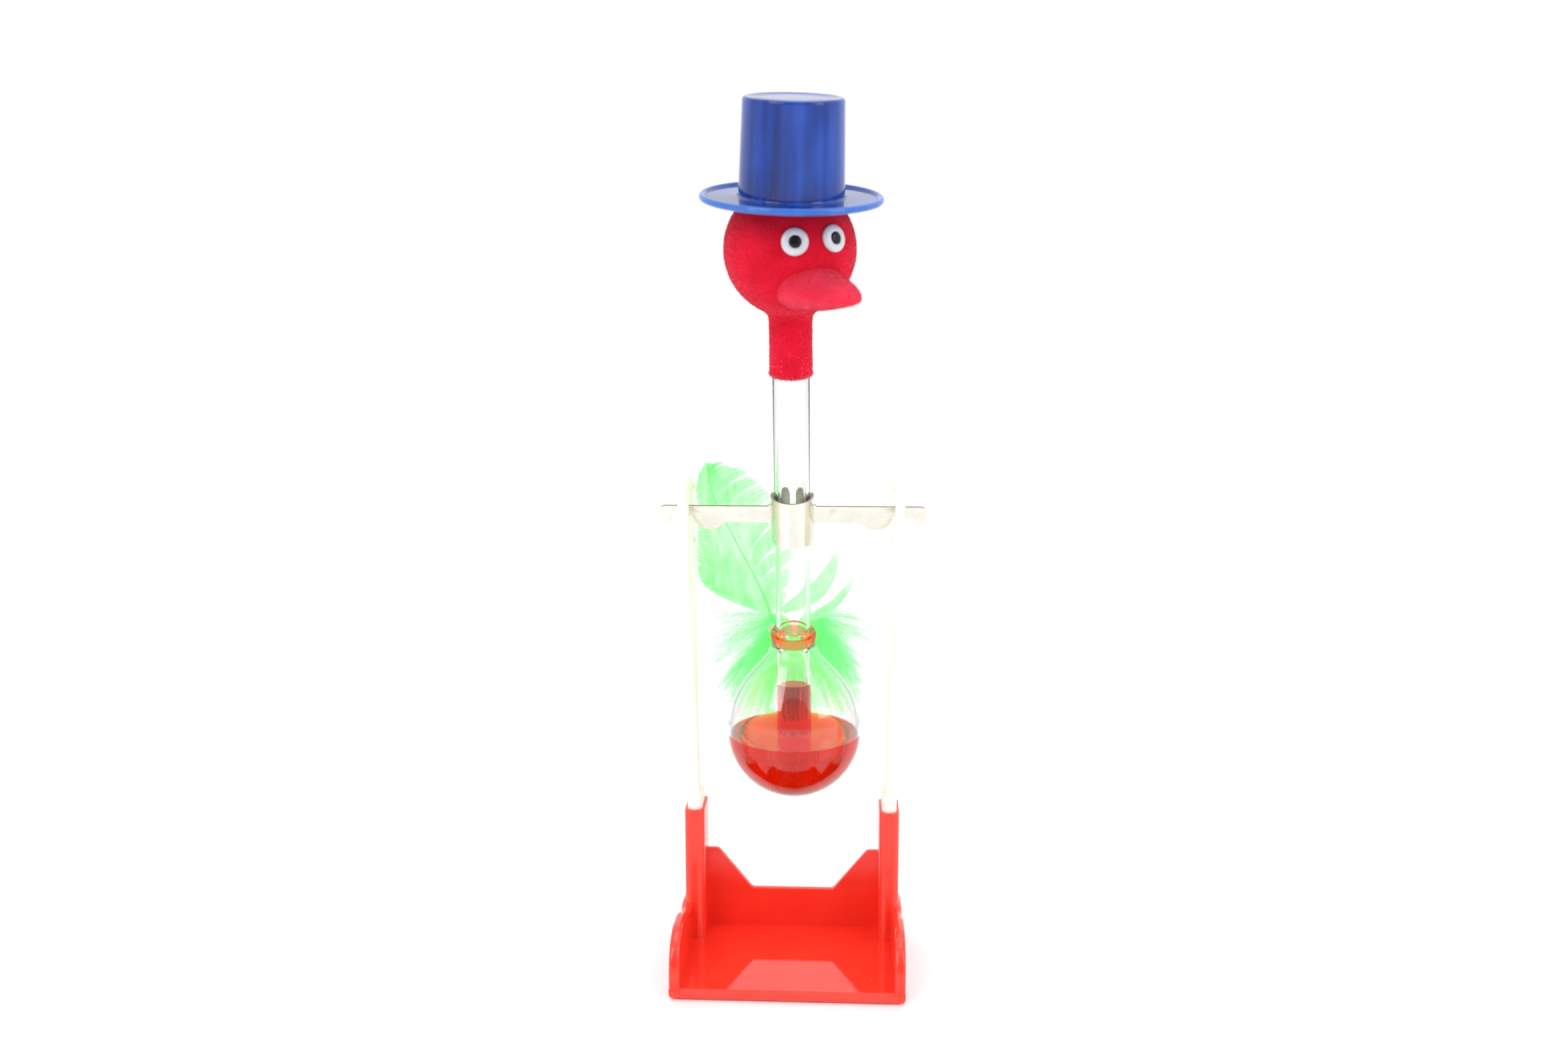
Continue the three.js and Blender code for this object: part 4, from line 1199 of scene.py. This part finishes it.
# Where the barbs end, by place t along the rachis: x, y (depth), s, and the angle they leave it at.
LEFT_BARBS = {
    "t": [0.03, 0.12, 0.25, 0.42, 0.56, 0.62, 0.72, 0.82, 0.92, 1.0],
    "x": [-26.4, -27.4, -27.7, -27.7, -27.6, -27.3, -27.6, -27.6, -26.9, -24.9],
    "y": [4.0, 0.5, -3.0, -1.0, 4.2, 4.5, 4.0, 3.5, 5.0, 7.0],
    "s": [-24.0, -19.5, -14.0, -8.6, -4.4, -1.0, 3.2, 6.8, 10.4, 13.4],
    "angle": [58, 56, 52, 48, 44, 42, 38, 32, 26, 8],
}
RIGHT_BARBS = {
    "t": [0.03, 0.10, 0.20, 0.30, 0.40, 0.50, 0.60, 0.70, 0.80, 0.90, 1.0],
    "x": [-4.6, -2.6, -0.2, 0.6, -2.0, -5.6, -8.6, -12.0, -16.0, -20.4, -24.5],
    "y": [7.6] * 11,
    "s": [-33.0, -27.5, -19.5, -12.0, -2.0, 4.2, 7.6, 10.0, 12.0, 13.2, 13.6],
    "angle": [20, 34, 44, 48, 48, 46, 42, 38, 32, 22, 6],
}


def barb_tip(shape, t):
    return Vector([np.interp(t, shape["t"], shape[axis]) * MM for axis in "xys"])


def make_tail_feather(vane_look, quill_look):
    """Contour feather: a tapering quill with barbs on both sides, split into clumps on the right."""
    rng = np.random.default_rng(21)
    spine = [Vector(p) for p in smooth_path([(x * MM, FEATHER_Y, s * MM) for x, s in RACHIS], 10)]
    quill = Strands()
    quill.add(spine, taper(len(spine), 0.55 * MM, 0.26 * MM, 0.6), 0.25 * MM, TOWARDS_VIEW)
    finish_piece(quill.build("tail_feather_quill"), quill_look, sharp=60)
    vane = Strands()
    barbs = 200
    webs = ((-1, LEFT_BARBS, 0.04, 0.0, 7.0), (1, RIGHT_BARBS, 0.32, 0.28, 3.0))
    for side, shape, loose, pull, fullness in webs:
        left_in_clump = 0
        for i in range(barbs):
            t = VANE_START + VANE_SPAN * i / (barbs - 1)
            if left_in_clump == 0:
                left_in_clump = rng.integers(5, 24)
                clump = rng.normal(0, 1)
                clump_t = t + VANE_SPAN * left_in_clump / (barbs - 1) / 2
            left_in_clump -= 1
            place = t * (len(spine) - 1)
            k = min(int(place), len(spine) - 2)
            root = spine[k].lerp(spine[k + 1], place - k)
            tangent = (spine[k + 1] - spine[k]).normalized()
            tip = barb_tip(shape, t).lerp(barb_tip(shape, clump_t), pull)
            tip += Vector((clump * loose, rng.normal(0, 0.1), clump * loose * 2 + rng.normal(0, 0.15))) * MM
            turn = Matrix.Rotation(math.radians(np.interp(t, shape["t"], shape["angle"])) * side, 3, "Y")
            path = bezier(root, root + turn @ tangent * (tip - root).length * 0.55, tip, 14)
            widths = [0.32 * MM * w for w in taper(len(path), 0.7, 1.0, fullness)]
            vane.add(path, widths, 0.03 * MM, TOWARDS_VIEW)
    made = vane.build("tail_feather_vane")
    finish_piece(made, vane_look, stands_for=["tail_feather"], sharp=0)


def make_second_feather(look):
    """Loose blades of barbs to the right of the tube: each leaves it low and sweeps up to a point."""
    rng = np.random.default_rng(22)
    blades = [
        (((-5.0, -33.0), (4.8, -28.6), (10.4, -21.8), (13.8, -11.4)), (1.2, 2.8, 2.3, 0.3), 50),
        (((2.5, -37.0), (9.6, -33.2), (14.6, -28.0), (18.6, -20.6)), (0.9, 1.5, 1.3, 0.35), 26),
        (((5.0, -36.0), (11.5, -31.5), (16.5, -26.0), (20.6, -20.0)), (0.5, 0.9, 1.1, 1.2), 9),
    ]
    strands = Strands()
    for line, spreads, count in blades:
        for i in range(count):
            off = (i / (count - 1) - 0.5) * 2
            points = []
            for k, ((x, s), spread) in enumerate(zip(line, spreads)):
                stray = rng.normal(0, 0.3) if k else 0
                y = FEATHER_Y / MM + 0.3 * off + 0.3 * k
                along_x = x + spread * 0.6 * off + stray
                along_s = s - spread * 0.8 * off + stray
                points.append((along_x * MM, y * MM, along_s * MM))
            path = smooth_path(points, 6)
            path = path[: max(8, int(len(path) * (0.72 + 0.28 * rng.random() ** 0.6)))]
            widths = [0.15 * MM * w for w in taper(len(path), 0.6, 1.0, 1.6)]
            strands.add(path, widths, 0.03 * MM, TOWARDS_VIEW)
    made = strands.build("second_feather_tufts")
    finish_piece(made, look, stands_for=["second_feather"], sharp=0)


# By direction in degrees above the horizontal: how far the down reaches, and how far it leans back.
DOWN_ANGLES = [-96, -80, -65, -52, -40, -27, -15, 0, 16]
DOWN_REACH = {-1: [52, 52, 44, 38, 32, 29, 27, 26, 24], 1: [52, 50, 40, 28, 25, 22, 22, 24, 20]}
DOWN_LEAN = [19, 17, 13, 10, 7, 5, 4, 3, 3]


def make_down(name, side, look, seed):
    """Downy after-feather behind the bulb: soft branches, each with fine barbules on both sides.

    `room` keeps the branches clear of the uprights when the bird rocks.
    """
    rng = np.random.default_rng(seed)
    base = Vector((side * 2.6 * MM, FEATHER_Y + 3.6 * MM, JOINT_S + 0.5 * MM))
    room = 22.5
    strands = Strands()
    branches, stations = 130, 12
    for i in range(branches):
        share = (i / (branches - 1)) ** 0.6
        direction = 16 - 112 * share + rng.normal(0, 4)
        back = np.interp(direction, DOWN_ANGLES, DOWN_LEAN) + rng.random() * 3
        lean = Matrix.Rotation(math.radians(back), 3, "X")
        length = np.interp(direction, DOWN_ANGLES, DOWN_REACH[side]) * (0.62 + 0.38 * rng.random() ** 0.7)
        angle = math.radians(direction)
        heading = Vector((side * math.cos(angle), 0, math.sin(angle)))
        sag = Vector((side * rng.normal(0, 1.6), rng.normal(0, 1.0), -1.0 - rng.random() * 2))
        depth = Vector((0, rng.normal(0, 1.3), 0))
        middle = heading * length * 0.55 + depth - sag * 0.5
        end = heading * length + sag + depth * 1.5
        end.x = max(-room, min(room, end.x))
        path = [base + lean @ (p * MM) for p in bezier(Vector((0, 0, 0)), middle, end, stations)]
        widths = [0.07 * MM * w for w in taper(stations + 1, 1.0, 0.9, 0.8)]
        strands.add(path, widths, 0.035 * MM, TOWARDS_VIEW)
        hanging = direction < -50
        hairs = 60 if hanging else 26
        half = (0.075 if hanging else 0.035) * MM
        for h in range(hairs):
            t = 0.06 + 0.92 * (h + rng.random()) / hairs
            place = t * stations
            k = min(int(place), stations - 1)
            root = path[k].lerp(path[k + 1], place - k)
            along = (path[k + 1] - path[k]).normalized()
            flat = along.cross(TOWARDS_VIEW).normalized()
            for hand in (-1, 1):
                hair = (4.6 - 2.4 * t) * rng.uniform(0.45, 1.15) * MM
                stray = Vector(rng.normal(0, 0.22, 3))
                out = flat * hand * rng.uniform(0.25, 0.7) + along * 0.95 + stray
                tip = root + out * hair * 0.85 + along * hair * 0.4
                strands.add(
                    bezier(root, root + out * hair * 0.5, tip, 4),
                    [half * w for w in (1, 1, 0.9, 0.7, 0)], 0.02 * MM, TOWARDS_VIEW,
                )
    finish_piece(strands.build(name + "_plume"), look, stands_for=[name], sharp=0)


def make_glue(look):
    """Dried drop that holds the quills to the neck ring."""
    drop = [(0, -1.35), (0.8, -1.1), (1.35, -0.4), (1.3, 0.5), (0.7, 1.15), (0, 1.4)]
    blob = turned(scaled(smooth_path(drop, 5)), 32)
    verts = []
    for x, y, s in blob[0]:
        wave = 1 + 0.08 * math.sin(4200 * x + 1) * math.cos(3600 * s)
        verts.append((x * wave * 1.1, y * wave * 0.8, s * wave))
    place = BIRD @ Matrix.Translation((-6.4 * MM, FEATHER_Y - 0.2 * MM, JOINT_S - 2 * MM))
    made = mesh_object("glue_drop", verts, blob[1], place)
    finish_piece(made, look, stands_for=["glue_bead"], sharp=0)


# ---------------------------------------------------------------- studio
def make_floor(look):
    reach = 3.0
    corners = [(-reach, -reach, 0), (reach, -reach, 0), (reach, reach, 0), (-reach, reach, 0)]
    floor = mesh_object("studio_floor", corners, [[0, 1, 2, 3]])
    floor.data.materials.append(look)


def make_world():
    """White room whose camera side is darker, but only in reflections off opaque pieces."""
    world = bpy.data.worlds.new("white_room")
    bpy.context.scene.world = world
    world.use_nodes = True
    tree = world.node_tree
    tree.nodes.clear()
    place = node(tree, "ShaderNodeTexCoord").outputs["Generated"]
    parts = node(tree, "ShaderNodeSeparateXYZ", {"Vector": place})
    tone = grey_ramp(tree, node(tree, "ShaderNodeMapRange", {
        "Value": parts.outputs["Y"], "From Min": -1.0, "From Max": 1.0,
    }).outputs[0], [(0.04, 0.16), (0.26, 1.0)])
    paths = node(tree, "ShaderNodeLightPath")
    through = calc(tree, "GREATER_THAN", paths.outputs["Transmission Depth"], 0.5)
    tone = mixed(tree, paths.outputs["Is Camera Ray"], mixed(tree, through, tone, (0.8, 0.8, 0.8)), (1, 1, 1))
    back = node(tree, "ShaderNodeBackground", {"Color": tone, "Strength": 1.12})
    node(tree, "ShaderNodeOutputWorld", {"Surface": back.outputs[0]})


def area_light(name, place, target, size, power):
    data = bpy.data.lights.new(name, "AREA")
    data.shape = "RECTANGLE"
    data.size, data.size_y = size
    data.energy = power
    light = bpy.data.objects.new(name, data)
    bpy.context.scene.collection.objects.link(light)
    light.location = place
    light.rotation_euler = (Vector(target) - Vector(place)).to_track_quat("-Z", "Y").to_euler()


def make_lights():
    middle = (0, 0, 0.12)
    area_light("key_softbox", (-0.55, -0.75, 0.75), middle, (0.5, 0.7), 4.0)
    area_light("fill_softbox", (0.75, -0.45, 0.55), middle, (0.35, 0.7), 2.2)
    area_light("top_softbox", (0.05, 0.1, 1.0), middle, (0.6, 0.6), 1.6)


def make_camera():
    data = bpy.data.cameras.new("camera")
    data.sensor_width = 36
    data.lens = 30.61
    data.clip_start, data.clip_end = 0.01, 20
    data.dof.use_dof = True
    data.dof.focus_distance = 0.372
    data.dof.aperture_fstop = 6.3
    camera = bpy.data.objects.new("camera", data)
    bpy.context.scene.collection.objects.link(camera)
    camera.location = (15.07 * MM, -372.61 * MM, 189.42 * MM)
    camera.rotation_euler = (math.radians(90 - 9.458), 0, math.radians(2.679))
    bpy.context.scene.camera = camera


# ---------------------------------------------------------------- build
def build():
    ivory_look = ivory()
    plain_glass = blown_glass("head_glass")
    head_red = flock(
        "head_flock", (0.60, 0.004, 0.018), (0.80, 0.010, 0.040), (NECK_LOW - 1 * MM, NECK_LOW + 8 * MM),
    )
    beak_red = flock("beak_flock", (0.68, 0.014, 0.040), (0.88, 0.035, 0.085))
    vane = feather_green("feather_vane", (0.46, 1.0, 0.50), (0.68, 1.0, 0.70), 0.70, 0.42, 0.75)
    quill = feather_green("feather_quill", (0.10, 0.70, 0.20), (0.20, 0.85, 0.30), 0.6, 0.3, 0.2)
    down = feather_green("feather_down", (0.28, 0.97, 0.36), (0.46, 1.0, 0.52), 0.65, 0.45, 0.75)

    make_tray(tray_red())
    make_upright("left_upright", -1, ivory_look)
    make_upright("right_upright", 1, ivory_look)
    make_clip(plated_metal(), cut_edge())
    make_bulb(blown_glass("bulb_glass", wet_bulb))
    make_tube(blown_glass("tube_glass", wet_tube))
    make_head_glass(plain_glass)
    make_bulb_liquid(dyed_liquid("pool_liquid", LIQUID_Z))
    make_column_liquid(dyed_liquid("column_liquid", COLUMN_TOP_Z, 2200.0))
    make_joint_liquid(dyed_liquid("ring_liquid", HINGE.z, 1400.0, (0.99, 0.3, 0.1, 1), 150.0))
    make_head(head_red, flock("edge_flock", (0.86, 0.03, 0.07), (0.95, 0.35, 0.40)))
    make_beak(beak_red)
    white, black = eye_white(), pupil_black()
    make_eye("left", -1, white, black)
    make_eye("right", 1, white, black)
    make_hat(hat_blue())
    make_tail_feather(vane, quill)
    make_second_feather(vane)
    make_down("left_down", -1, down, 31)
    make_down("right_down", 1, down, 32)
    make_glue(glue_clear())
    make_floor(white_floor())
    make_world()
    make_lights()
    make_camera()


build()
scene = bpy.context.scene
scene.view_settings.view_transform = "Standard"
scene.cycles.max_bounces = 32
scene.cycles.transmission_bounces = 32
scene.cycles.diffuse_bounces = 10
scene.cycles.transparent_max_bounces = 64
scene.cycles.sample_clamp_indirect = 4.0
